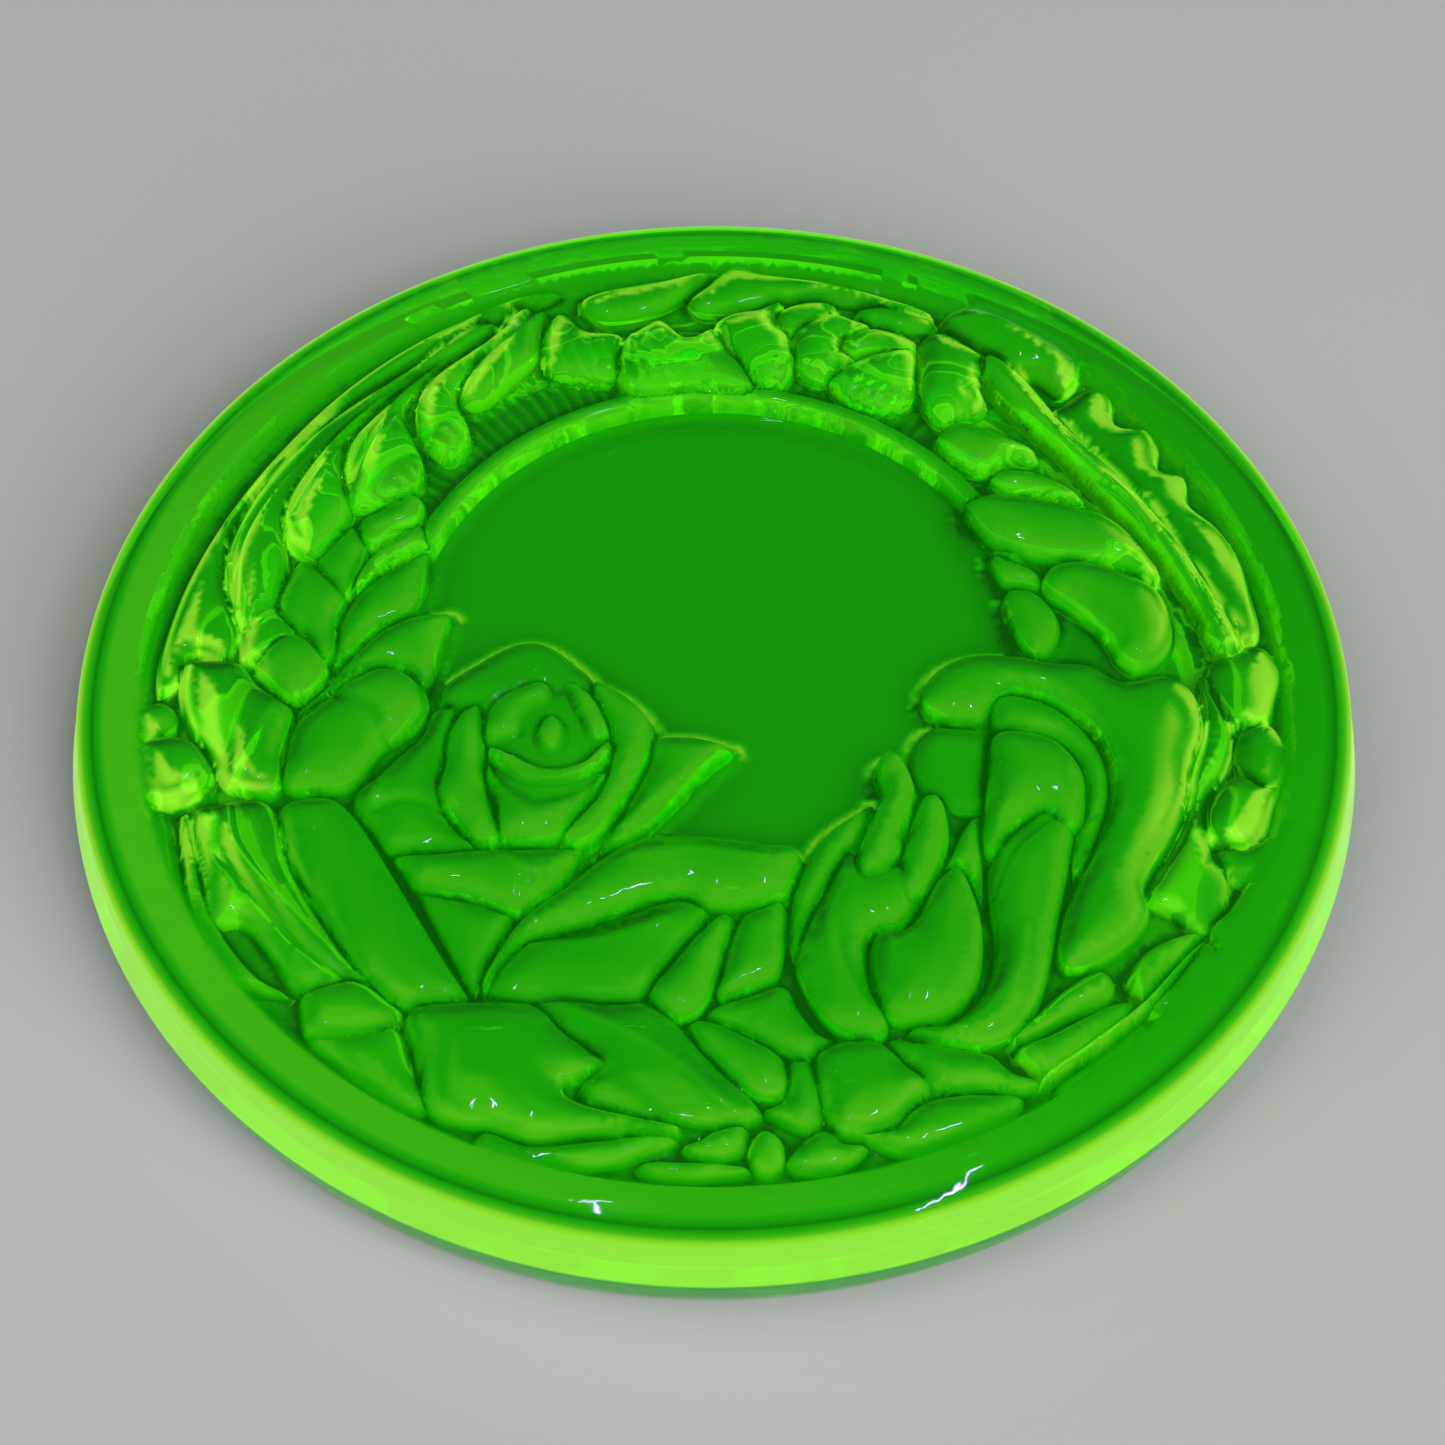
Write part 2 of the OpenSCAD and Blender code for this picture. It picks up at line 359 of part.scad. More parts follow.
glass_dish();
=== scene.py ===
# %% [markdown]
# # A pressed uranium glass dish
# The real dish is one heavy disc of green glass, pressed in a single stroke in a mould.
# Its face carries a rose, buds, scrolls and acanthus leaves round a plain sunk well.
# There are no parts to join, so the whole dish is one closed mesh, and the craft is in the relief.
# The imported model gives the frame. Its box gives the radius and the height, and every other size
# is written in millimetres beside them.

# %% Load the frame
import bpy, bmesh, json, math
import numpy as np
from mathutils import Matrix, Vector
from mathutils.geometry import delaunay_2d_cdt, interpolate_bezier
from mathutils.kdtree import KDTree

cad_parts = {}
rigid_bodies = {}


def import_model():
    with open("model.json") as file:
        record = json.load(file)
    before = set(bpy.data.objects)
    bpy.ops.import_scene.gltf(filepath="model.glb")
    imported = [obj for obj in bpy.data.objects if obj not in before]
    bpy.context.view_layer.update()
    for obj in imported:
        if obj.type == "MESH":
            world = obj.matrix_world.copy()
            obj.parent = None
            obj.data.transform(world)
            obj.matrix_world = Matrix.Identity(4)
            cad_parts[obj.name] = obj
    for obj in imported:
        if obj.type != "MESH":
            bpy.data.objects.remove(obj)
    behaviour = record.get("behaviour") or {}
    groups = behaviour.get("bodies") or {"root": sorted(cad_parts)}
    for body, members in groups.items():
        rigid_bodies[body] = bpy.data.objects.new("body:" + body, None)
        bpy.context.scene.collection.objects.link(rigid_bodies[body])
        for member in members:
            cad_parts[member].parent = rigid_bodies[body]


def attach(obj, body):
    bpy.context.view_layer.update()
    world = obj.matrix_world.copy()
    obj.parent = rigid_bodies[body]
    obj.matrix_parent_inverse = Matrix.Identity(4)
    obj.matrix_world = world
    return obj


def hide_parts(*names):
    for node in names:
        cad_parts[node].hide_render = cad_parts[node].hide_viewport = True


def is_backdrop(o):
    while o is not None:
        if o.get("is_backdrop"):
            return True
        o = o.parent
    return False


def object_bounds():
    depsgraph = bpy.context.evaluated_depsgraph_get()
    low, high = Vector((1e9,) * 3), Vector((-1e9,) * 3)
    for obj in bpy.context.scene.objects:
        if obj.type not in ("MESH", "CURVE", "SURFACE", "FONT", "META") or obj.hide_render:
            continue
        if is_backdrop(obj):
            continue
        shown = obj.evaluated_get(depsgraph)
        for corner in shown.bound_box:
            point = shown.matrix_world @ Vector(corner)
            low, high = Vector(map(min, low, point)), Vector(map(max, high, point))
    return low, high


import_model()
cad_low, cad_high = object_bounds()
print("packed box in mm:", [round(1000 * v, 2) for v in (*cad_low, *cad_high)])

# %% [markdown]
# ## Working sizes
# A mould cutter works in millimetres, so the outlines are in millimetres and scaled at the end.
# The widest line is the mould seam, part-way up the edge. The top corner and the foot lie inside it.

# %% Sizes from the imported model
DISH_R = 1000 * (cad_high[0] - cad_low[0]) / 2
TOP_Z = 1000 * (cad_high[2] - cad_low[2])
SEAM_Z, RIM_Z, CREST_Z, GROUND_Z = 4.6, 11.2, 12.6, 10.6
RIM_R, FOOT_R, CREST_R = DISH_R - 0.9, DISH_R - 1.1, DISH_R - 6.9
WELL_R, WELL_X, WELL_Y, WELL_Z = 33.4, 0.0, 8.8, 9.9
RISE = TOP_Z - GROUND_Z
AROUND = 288
print("disc radius", round(DISH_R, 2), "highest petal stands", round(RISE, 2), "above the ground")

# %% [markdown]
# ## Outlines as a cutter would draw them
# A petal could be drawn with a Bezier curve object, but its inside has to be measured afterwards.
# Here a few points are joined by Bezier stretches into a ring of closely spaced points.
# A point with a third number stays sharp, like the tip of a leaf.

# %% Drawing an outline
def draw(points, gap=0.7, closed=True):
    """Points about a gap (mm) apart along the Bezier stretches that join the given ones."""
    spots = [Vector(p[:2]) for p in points]
    count, line = len(spots), []
    for i in range(count if closed else count - 1):
        a, b = spots[i], spots[(i + 1) % count]
        chord = b - a
        sharp_a = len(points[i]) == 3 or (not closed and i == 0)
        sharp_b = len(points[(i + 1) % count]) == 3 or (not closed and i == count - 2)
        leave = chord if sharp_a else b - spots[i - 1]
        arrive = chord if sharp_b else spots[(i + 2) % count] - a
        third = chord.length / 3
        pieces = max(2, round(chord.length / gap))
        line += interpolate_bezier(a, a + leave.normalized() * third,
                                   b - arrive.normalized() * third, b, pieces + 1)[:-1]
    if not closed:
        line.append(spots[-1])
    return np.array([(p.x, p.y) for p in line])


petals = []
def press(group):
    """Keeps each outline with its share of the full rise."""
    for share, points in group:
        petals.append({"share": share, "line": draw(points)})
    print(len(group), "shapes pressed,", len(petals), "so far")

# %% [markdown]
# ## The rose
# A full-blown rose sits to the left of the well: a tight heart, a bead at its middle,
# and petals that fall away round it. Each petal is an outline and a share of the full rise.
# The highest shape wins where two overlap, which is how a cutter lets one petal pass behind another.

# %% The rose
press([
    (0.62, [(-30, 0), (-25.5, 5.2), (-20, 7.9), (-15.5, 5.3), (-12.4, 0), (-18, -6), (-25, -4)]),
    (0.7, [(-25, -1), (-22.5, 1.3), (-18, 2.3), (-14.5, 1.3), (-11.8, -2), (-10.7, -6), (-11.3, -11),
         (-14, -16.5), (-17, -19.8), (-22.3, -19.8), (-24.3, -13), (-25, -6)]),
    (1, [(-17.6, -3.2), (-16, -4.2), (-15.5, -6.4), (-16.3, -8.8), (-18.2, -9.2), (-19.6, -7.2),
         (-19.2, -4.6)]),
    (0.88, [(-24.5, -1.6), (-21.8, 0.8), (-18, 1.6), (-16.8, -1.8), (-19.6, -4), (-20.4, -6.8),
         (-24.6, -7)]),
    (0.84, [(-16.2, 1.4), (-13.6, 0.4), (-11.8, -2.6), (-11.2, -6), (-13.4, -6.8), (-14.8, -4),
         (-15.8, -1.4)]),
    (0.92, [(-24.6, -7.6), (-21.4, -8.4), (-18, -10.2), (-14.6, -9.4), (-11, -6.6), (-11.4, -9.4),
         (-14.4, -12.2), (-18.4, -13.2), (-22, -11.8)]),
    (0.8, [(-24.5, -9), (-22, -12), (-18.4, -13.6), (-14.4, -12.6), (-11.4, -10), (-12.2, -13),
         (-14.4, -16.8), (-17, -19.6), (-22.3, -19.7), (-23.8, -14)]),
    (0.74, [(-25, -1), (-27.5, -2), (-29, -5), (-29.2, -9), (-29.9, -13.5), (-27.5, -17), (-25.3, -19.6),
         (-22.7, -19.4), (-24.2, -12)]),
    (0.56, [(-27, -1), (-30.5, -1.5), (-31.5, -4.8), (-35, -9), (-38.8, -13.5), (-36.5, -17.5),
         (-34, -20.7), (-25.5, -20.3), (-28, -16.5), (-29, -9)]),
    (0.71, [(-13.5, 1.8), (-9.5, 0.2), (-6.9, -3), (-6.4, -5.5), (-7.5, -10), (-10, -15), (-13.5, -19.6),
         (-16.6, -19.4), (-12.6, -13), (-11.2, -6)]),
    (0.48, [(-6.8, -5.4), (-3, -4.8), (0, -5.4), (2.2, -6.5, 1), (-0.5, -9), (-4, -13.5), (-8, -18),
         (-12.5, -20.5, 1), (-9.2, -13.5), (-7.2, -8.5)]),
    (0.66, [(-34.3, -20.9, 1), (-25, -20.1), (-13.9, -19.9, 1), (-15, -23.2), (-17.8, -26.5),
         (-20.5, -28.8, 1), (-25, -27.1), (-31.3, -25.6), (-33, -23)]),
    (0.45, [(-31.6, -25.3, 1), (-27, -26.1), (-21, -28.5, 1), (-22.5, -32.5), (-25, -38.8, 1), (-28, -33)]),
    (0.8, [(-24.2, -38.4), (-22.9, -33.5), (-20, -28.8), (-16, -25.3), (-11.5, -21), (-8, -19), (-4, -18.5),
         (0, -18.9), (5, -19.7), (9.2, -20.8), (8.4, -24.6), (7.3, -26.7), (2.5, -28), (-0.5, -28),
         (-2.8, -26.9), (-5, -26.9), (-10, -29), (-15, -31), (-19.5, -32.6), (-22, -35.8)]),
    (0.58, [(-21.4, -33.2), (-15, -30.6), (-10, -28.7), (-5, -26.6), (-2.4, -26.6), (-0.4, -28.6),
         (-3, -33), (-7.2, -38.6), (-8.4, -39.6), (-15, -39.8), (-23.3, -39.2)]),
])

# %% [markdown]
# ## Buds and the scroll
# To the right of the rose stands a bud with two tall tips and a round cup.
# A scroll starts with a round bulb and arches over a long smooth leaf.

# %% Buds
press([
    (0.6, [(0.5, -28.5), (2.3, -28.7), (1.2, -33), (0, -38), (-1.5, -41), (-3.5, -42), (-5.5, -41),
         (-7, -38.8), (-4.5, -34.5), (-2, -31)]),
    (0.52, [(2.9, -28.6), (5, -27.4), (7.4, -26.8), (7.7, -31), (7.2, -35.3), (6.5, -36.8), (3.5, -38.1),
         (0.5, -39.2), (1, -35), (1.8, -31)]),
    (0.4, [(0, -39.9), (4, -38.3), (7.4, -37.3), (8.8, -40), (11, -43.3), (12.6, -44.3), (10.5, -46),
         (9.6, -47), (6, -45), (2, -42.5), (-0.8, -41.5)]),
    (0.5, [(-3, -42.6), (-1, -41.6), (3, -43.5), (7, -46.2), (7.9, -49), (7.3, -51.2), (5.5, -51.8),
         (3, -50.5), (0, -47.5)]),
    (0.55, [(17, -13.8, 1), (12, -17.8), (9.8, -21.5), (8.2, -27), (8.4, -34.5), (9.9, -31), (11, -27.5),
         (13.4, -23), (16, -18)]),
    (0.7, [(14.5, -20.5), (17, -22.5), (22.3, -22), (22.3, -26), (19.5, -30.3), (16.8, -31), (16, -34),
         (16.6, -38), (18.2, -43.5), (15, -44.5), (12, -42.8), (9.5, -38.5), (8.4, -34), (9.5, -30.5),
         (11.5, -26)]),
    (0.92, [(18.3, -7.8), (17.3, -9.5), (18, -13), (16.5, -17), (14.8, -22), (15.5, -25), (18, -24.5),
         (20, -21.5), (20.5, -18), (21.8, -14.5), (21.2, -10.5), (19.8, -8)]),
    (0.76, [(22, -13.7), (24, -13.2), (25, -15.5), (25.1, -19), (24.3, -22.5), (22.5, -26.5), (20, -27.5),
         (19.4, -22), (20.6, -18)]),
    (0.88, [(20.2, -30.5), (22, -27.5), (24, -23.8), (25.8, -22.8), (27.2, -25), (28.3, -30), (28.2, -35),
         (26.9, -39), (24, -42), (20, -42.9), (17.8, -41.5), (16.5, -38), (16.3, -34), (17.2, -31)]),
    (0.5, [(28.4, -15.2, 1), (26.8, -16.8), (25.4, -20), (24.4, -23.5), (26.5, -22.6), (28.5, -28.5, 1),
         (28.6, -22)]),
])

# %% The scroll
press([
    (0.3, [(23, -3.8), (27, -3.3), (30, -4.8), (29.6, -8), (28.6, -14.6), (25, -14.6), (22.5, -12.5),
         (21.2, -8)]),
    (0.68, [(22.5, 0), (23.7, 3.3), (27, 5.7), (32, 6), (37, 5), (41, 4.6), (44.5, 2.4), (49, 3.2), (52, 1),
         (53, -4), (51.5, -9), (50.6, -14), (48.4, -19), (45.6, -24.5), (46, -28.5), (44, -32), (40, -35),
         (36.5, -35.4), (36.6, -30), (38.6, -24), (41.5, -17.5), (42.6, -11.5), (41.5, -6), (37.5, -1.6),
         (33, 0.2), (30.3, -1), (29, -2.9), (26, -3.3), (23.5, -2)]),
    (0.5, [(30.6, 0.6), (35, 0.2), (39, -2.8), (41.8, -7.3), (42.6, -12), (41.4, -17.5), (38.6, -23.6),
         (38.2, -20), (39.6, -15), (39.8, -11), (38.3, -7.3), (35.5, -5.2), (31.2, -4.9), (30, -2.8)]),
    (0.9, [(30.2, -5.2), (33.5, -4.8), (37, -6.1), (39.4, -9.3), (40, -13), (38.6, -17.8), (35.3, -15.8, 1),
         (32, -18), (29.3, -21.6), (28.9, -15), (29.5, -9)]),
    (0.64, [(36, -14.6), (32, -17.6), (29.5, -20.8), (29, -26), (29.5, -33), (28.2, -38), (25, -42),
         (20, -43.6), (24, -45.3), (30, -44.8), (33.5, -41), (35.1, -36), (36.4, -29), (37.8, -22),
         (38.4, -17)]),
])

# %% Curled volutes on the right edge
press([
    (0.46, [(53.2, 3.5), (55.5, 6.5), (59.5, 7.6), (61.6, 4.5), (61, 0.5), (59.8, -3.3), (56.5, -4.2),
         (54.5, -1)]),
    (0.4, [(57, -3.6), (60, -3), (61.6, -5.5), (61.8, -9), (60, -12.3), (57, -10.5), (56, -7)]),
    (0.5, [(52.4, -17), (53.5, -12.5), (56.5, -10), (59, -11.5), (60.8, -11.2), (59.8, -14), (59, -17),
         (57, -19.8), (54, -19.6)]),
    (0.38, [(53.5, -20), (57, -19.4), (59.6, -18.2), (59, -22), (57.3, -24.8), (54.5, -23.5)]),
    (0.44, [(52, -30.3), (54, -28), (57.6, -24.3), (56.8, -28.4), (55.4, -31), (53, -32.4)]),
    (0.34, [(53.4, 3.8), (52.6, -2), (52, -6), (50.8, -11), (50.5, -15), (49, -19), (46.5, -24),
         (45.5, -26.5), (48, -28), (52, -30.8), (54.4, -27), (54.6, -23), (53, -19), (53.4, -13),
         (55.4, -9), (56.4, -4), (55.4, 0)]),
])

# %% [markdown]
# ## The crest and the fan
# Over the well runs a crest of curled tips. From its left end a fan of long feathers sweeps down.

# %% The crest
press([
    (0.55, [(-19.8, 50), (-19, 53.5), (-17.5, 55.3), (-14.5, 52.7), (-10.2, 51.7), (-10.4, 48), (-11.2, 45),
         (-15, 45), (-18.5, 45.8)]),
    (0.42, [(-15.5, 57), (-13, 58.8), (-6, 60.5), (0.6, 61.6), (-1.5, 59), (-4.5, 56.3), (-8, 54.5),
         (-12.5, 53.8), (-14.5, 55)]),
    (0.48, [(2.1, 62.2), (6, 61.3), (13, 60.1), (20, 57.7), (25, 55.2), (24, 54.2), (18, 56), (12, 57),
         (6, 56.2), (2, 54.9), (-2, 55.1), (-3.2, 56.8), (-1, 59.5)]),
    (0.7, [(-10.7, 50.5), (-8, 53.2), (-6, 54), (-3, 51.5), (0, 52.7), (1.4, 50), (3.7, 46.5), (4.3, 43.4),
         (-2, 43.2), (-7, 42.6), (-9.5, 42.6), (-11, 45), (-10.9, 48)]),
    (0.6, [(-0.2, 53), (1.5, 54.9), (5, 55.8), (8, 56.8), (7, 54), (8.6, 52), (9, 49.5), (9, 46.5),
         (7.5, 44), (5, 44), (3.2, 47), (1, 50)]),
    (0.52, [(8.7, 52), (10.5, 54), (13.5, 55.3), (16, 54.3), (18, 53), (15, 51.5), (14.5, 49.8), (16, 48.5),
         (14, 45.8), (12, 44.5), (9.3, 46.5), (8.9, 49.5)]),
    (0.44, [(6.8, 54.5), (8, 56.2), (12, 57.2), (14.2, 56), (12, 54.3), (9.8, 52.1), (8, 52.2)]),
    (0.46, [(14.4, 51), (16, 52.6), (19, 53), (23, 51.1), (23.1, 49.4), (18, 49.1), (15.4, 48.4)]),
    (0.58, [(13, 45.4), (16, 48.2), (20, 49.8), (22.7, 49.6), (22.9, 45), (22.3, 41.8), (19, 40.4),
         (15.5, 41.5), (13.4, 43.4)]),
    (0.4, [(16, 55.7), (20, 56.6), (24.5, 54.9), (25.4, 53.3), (23.8, 51.9), (19, 52.7), (16.5, 54.4)]),
    (0.64, [(23.4, 51), (26, 52.2), (28.7, 50.6), (31.2, 48.3), (30.2, 44.5), (30.6, 41), (28, 39.2),
         (25.5, 38), (24, 40), (23.1, 44), (23.1, 48)]),
    (0.82, [(25.5, 53), (28.5, 55.6), (33, 56.3), (37.5, 54), (40.6, 50), (41.3, 46), (39.2, 43),
         (36.5, 44.8), (33, 45.8), (30.6, 48), (27.6, 50.4)]),
])

# %% The fan
press([
    (0.52, [(-18, 58.5), (-30, 53.6), (-41, 44.7), (-50, 33), (-56.3, 21), (-60, 9), (-60.4, 0.7),
         (-58.5, 2), (-57, 6), (-52.8, 5.5), (-52.3, 11), (-53.8, 17), (-53.3, 24), (-48.8, 32),
         (-41.8, 40), (-33, 47.8), (-25, 53.3)]),
    (0.6, [(-24.6, 53.4), (-35, 46.7), (-44.2, 38.2), (-50.7, 29.2), (-54, 20), (-53.7, 13), (-51, 9),
         (-48, 12.8), (-46.8, 18), (-47.6, 24), (-45.3, 31), (-40.8, 38), (-33.6, 45.2)]),
    (0.68, [(-23.4, 53.9), (-33, 46.9), (-40.9, 39.2), (-46.2, 31.2), (-48.2, 25.5), (-47.3, 22),
         (-45.5, 19.8), (-43.5, 20), (-40.3, 25.5), (-41.2, 31), (-40.7, 36), (-36.6, 42), (-29.6, 49)]),
    (0.64, [(-22, 54.6), (-30.2, 48.7), (-37.2, 41.6), (-41.3, 35.5), (-41.6, 30), (-40.5, 26.5),
         (-37.5, 26.8), (-33, 28.8), (-32.3, 32), (-33.8, 37), (-35, 40), (-32.6, 44.5), (-26.6, 50.7)]),
    (0.66, [(-20.5, 55.2), (-27.2, 50.1), (-33, 44), (-33.4, 39), (-32.3, 35.5), (-30, 33.2), (-28, 34.5),
         (-27.3, 37.5), (-29, 43), (-26, 48)]),
    (0.58, [(-19.2, 55.6), (-24.3, 51.6), (-28, 46), (-28.6, 41.5), (-26, 41.3), (-22.5, 45), (-20, 48.3),
         (-19.8, 52)]),
])

# %% The banded stem and its leaves
press([
    (0.45, [(37, 39), (40.3, 42.8), (42.6, 44.2), (44.8, 42.8), (45.3, 39), (48.6, 38.2), (49.8, 35.8),
         (49.8, 32.5), (52.6, 31.3), (53, 27.5), (55.8, 24.3), (58, 20), (59.2, 14), (59.4, 8.5),
         (56.5, 7.5), (54, 6), (54, 12), (51.4, 19), (47, 27.5), (41.5, 34.5)]),
    (0.78, [(30.8, 48.4), (35, 45), (40.3, 37), (46.5, 29.3), (51.5, 21.5), (55.2, 13.5), (57.6, 6.8),
         (54.8, 5.8), (52.4, 12), (48.6, 19.6), (43.6, 27), (37.5, 35), (32.3, 41.6), (30.4, 45)]),
    (0.6, [(24.8, 36), (27, 39), (30, 38.4), (33, 37), (36.3, 34), (33, 33.4), (30, 31.5), (27.5, 32.5)]),
    (0.46, [(30.7, 30.7), (32.5, 32.3), (37, 31.5), (41.5, 27.3), (38, 27.8), (32.5, 28.8)]),
    (0.66, [(27.8, 26.5), (28.8, 28), (32, 28.6), (38, 27.5), (43.6, 25.5), (47.6, 21), (49.3, 16.8),
         (48, 15.8), (44, 18.3), (39, 18.8), (35, 19.6), (31.5, 20.8), (29, 23.5)]),
    (0.72, [(36, 16.3), (37.5, 18.4), (41, 18.9), (45.5, 17.2), (49, 14.7), (50.3, 10), (49.4, 6),
         (46.5, 3.6), (44, 5), (43.3, 7), (41.8, 9.2), (38.8, 12.2), (36.6, 14)]),
    (0.42, [(30.5, 20), (33, 19.5), (36.2, 17.2), (35.8, 15.2), (33.5, 15.4), (31.8, 15.8)]),
    (0.5, [(32, 14.8), (34.5, 15.2), (36.3, 14), (38, 10.5), (37, 7), (35, 5.6), (33.2, 8), (32.3, 11)]),
])

# %% [markdown]
# ## Leaves round the edge
# The rest of the ring is filled with smaller leaves, so hardly any bare ground shows. A knob and
# a small knot join the groups on the left. A narrow ribbed leaf closes the ring at the lower right.

# %% Leaves on the left
press([
    (0.6, [(-46.5, -14.5), (-44, -13.2), (-41, -13.2), (-38.8, -15), (-36, -19.5), (-32, -27), (-28, -34.5),
         (-25.3, -39.3, 1), (-31, -40.5), (-36, -37.5), (-40.5, -31), (-44.5, -23), (-46.3, -18)]),
    (0.72, [(-45, -3), (-41, 0.8), (-38, 3.5), (-35, 4.1), (-32, 2.3), (-30.7, -1), (-31.8, -4),
         (-35.5, -7), (-38.8, -12), (-42, -12.8), (-46, -12.3), (-46.2, -7)]),
    (0.82, [(-38, 3.3), (-35, 3.9), (-32.2, 2.2), (-31, -1), (-32, -3.8), (-35.3, -6.5), (-37, -5),
         (-39.5, -3), (-41.6, -0.3)]),
    (0.54, [(-45.5, -2.6), (-42.5, 1.5), (-39.5, 6), (-36.5, 9.5), (-33, 11.5), (-28.8, 12.1, 1),
         (-30, 6.5), (-31.4, 1.2), (-33, 3.2), (-36.5, 3.8), (-40, 1.6), (-43, -1.4)]),
    (0.44, [(-44.5, -1.5), (-41.8, 4), (-41.3, 10), (-39, 15), (-35, 18.8), (-31.4, 20.8, 1), (-31.8, 16),
         (-33.4, 11.6), (-37, 9.3), (-40.5, 4.7)]),
    (0.56, [(-40, 14.5), (-38.5, 19), (-35, 22.5), (-32.3, 24.5, 1), (-31.4, 20.9, 1), (-35, 18.9),
         (-38.8, 15)]),
    (0.48, [(-39.5, 24.5), (-37, 26.6), (-33, 28.5), (-32.3, 25), (-35, 23), (-38, 21)]),
    (0.4, [(-44, 19.5), (-40.5, 24.2), (-39.5, 24), (-38.3, 20.8), (-39.8, 14.5), (-41, 13.8), (-44, 18)]),
    (0.52, [(-48, 12.5), (-47.2, 17), (-45.5, 19.3), (-43.8, 18.3), (-40.3, 14), (-41, 11), (-42, 5),
         (-45, 8.5)]),
    (0.68, [(-50, 4.5), (-48, 8), (-45, 8.5), (-42, 4.6), (-42.5, 1.5), (-44.5, -0.4), (-46.5, 0),
         (-48.5, 2.3)]),
    (0.46, [(-52, 8), (-51.5, 12.5), (-48.5, 13.6), (-47.6, 12), (-45.5, 8.7), (-49, 4.8), (-51.5, 5.5)]),
    (0.5, [(-54, -14), (-51, -13.2), (-48, -13.5), (-46.1, -16.5), (-45.3, -21), (-42, -28), (-38, -34.3),
         (-36, -37.1), (-38, -37), (-43, -38.5), (-46.5, -34), (-50, -29.5), (-53, -29.5), (-55, -22),
         (-56.2, -15)]),
    (0.36, [(-60, -15.5), (-58.3, -14.8), (-57, -20), (-55, -28), (-53, -33), (-51.4, -36.4, 1),
         (-55, -33.6), (-57.8, -28.4), (-59.8, -23), (-60.4, -18.5)]),
    (0.42, [(-57, -15), (-56, -15), (-54.5, -23), (-52.5, -29.3), (-48, -36), (-44, -38.7, 1), (-50, -37),
         (-54, -31.5), (-56.3, -24)]),
])

# %% The knob and the knot
press([
    (0.5, [(-63, -2.8), (-62.2, -1), (-60.4, -0.3), (-58.6, -1), (-57.9, -2.8), (-58.6, -4.7),
         (-60.4, -5.6), (-62.2, -4.7)]),
    (0.74, [(-62.6, -8.6), (-61.6, -6), (-58, -5.2), (-55.4, -6.5), (-53.6, -10.4), (-54.2, -12),
         (-57, -13.8), (-59.4, -14.2), (-61.8, -12)]),
    (0.62, [(-58, 4.8), (-55, 5.4), (-51.5, 4.9), (-49.5, 2), (-47.3, 0.2), (-45.4, -2), (-46.3, -7),
         (-47, -12.4), (-52, -12), (-53.5, -10), (-55.8, -6), (-57.5, -2)]),
    (0.54, [(-43, -38.5), (-40, -37), (-37, -36.8), (-33.5, -39.7), (-32.3, -41), (-33, -42.8),
         (-38, -44.3), (-42.3, -44.1), (-43.2, -41)]),
])

# %% Leaves at the bottom
press([
    (0.66, [(-32, -40.9), (-25, -39.5), (-18.5, -39.9), (-15.5, -43.3), (-11, -47), (-10.8, -48),
         (-15.5, -50.2), (-14, -52), (-8, -53.8), (-3, -55.2), (-4, -56.2), (-12, -56), (-19, -56.6),
         (-22.5, -55.3), (-26, -55), (-29.5, -53), (-31, -47)]),
    (0.52, [(-19, -39.6), (-10, -39.5), (-6.5, -39.6), (-3, -43), (0.5, -47.5), (4, -51.5), (5, -54),
         (1.5, -55.2), (-4, -54.6), (-10, -53), (-14, -51), (-12.6, -47.6), (-16, -43)]),
    (0.4, [(-24, -55.3), (-19, -57), (-12, -56.4), (-4, -56.1), (-8, -58.8), (-13, -60.2), (-20, -59.3),
         (-24.4, -57.4)]),
    (0.48, [(-3.5, -57.6), (-1.5, -56.4), (0, -55.3), (3.4, -55), (3.1, -58), (1, -59.2), (-1.5, -59)]),
    (0.34, [(-8, -59.6), (-3, -58.9), (3, -59.4), (4.5, -60.4), (0, -61.4), (-5, -61.2)]),
    (0.58, [(3.5, -57.5), (5, -55.4), (7, -56.6), (7.3, -59), (6, -61), (4, -60.6)]),
    (0.62, [(10.3, -47), (12, -44.9), (15, -44.2), (18, -44.8), (20, -47.3), (22.5, -50), (20.5, -53),
         (18.5, -55), (15, -56.3), (12.5, -56), (11.3, -53)]),
    (0.44, [(17.6, -44.6), (22.5, -44.2), (26, -45.1), (29, -46), (31, -48), (34, -49.7), (31.5, -51),
         (27, -51), (23, -51), (20.3, -48)]),
    (0.5, [(20, -53), (23, -51.3), (28, -50.8), (32, -51.5), (30.8, -53.8), (28.6, -55.4), (24, -57.4),
         (20.5, -58.6), (17, -57.4), (15, -56), (18.5, -55)]),
    (0.38, [(7.6, -47), (10.2, -46.8), (11.2, -52), (10.4, -55.4), (7, -54.4), (5, -53), (7.2, -51.4)]),
    (0.42, [(-42.5, -43.8), (-40, -43.6), (-36, -43), (-33, -42.3), (-31.3, -47), (-29.6, -52.8),
         (-32, -52.9), (-35, -51), (-39, -47.4)]),
    (0.36, [(7.5, -59.6), (9.5, -56), (11.6, -55), (13.6, -56.6), (16, -57), (14, -59.6), (10.5, -60.8)]),
])

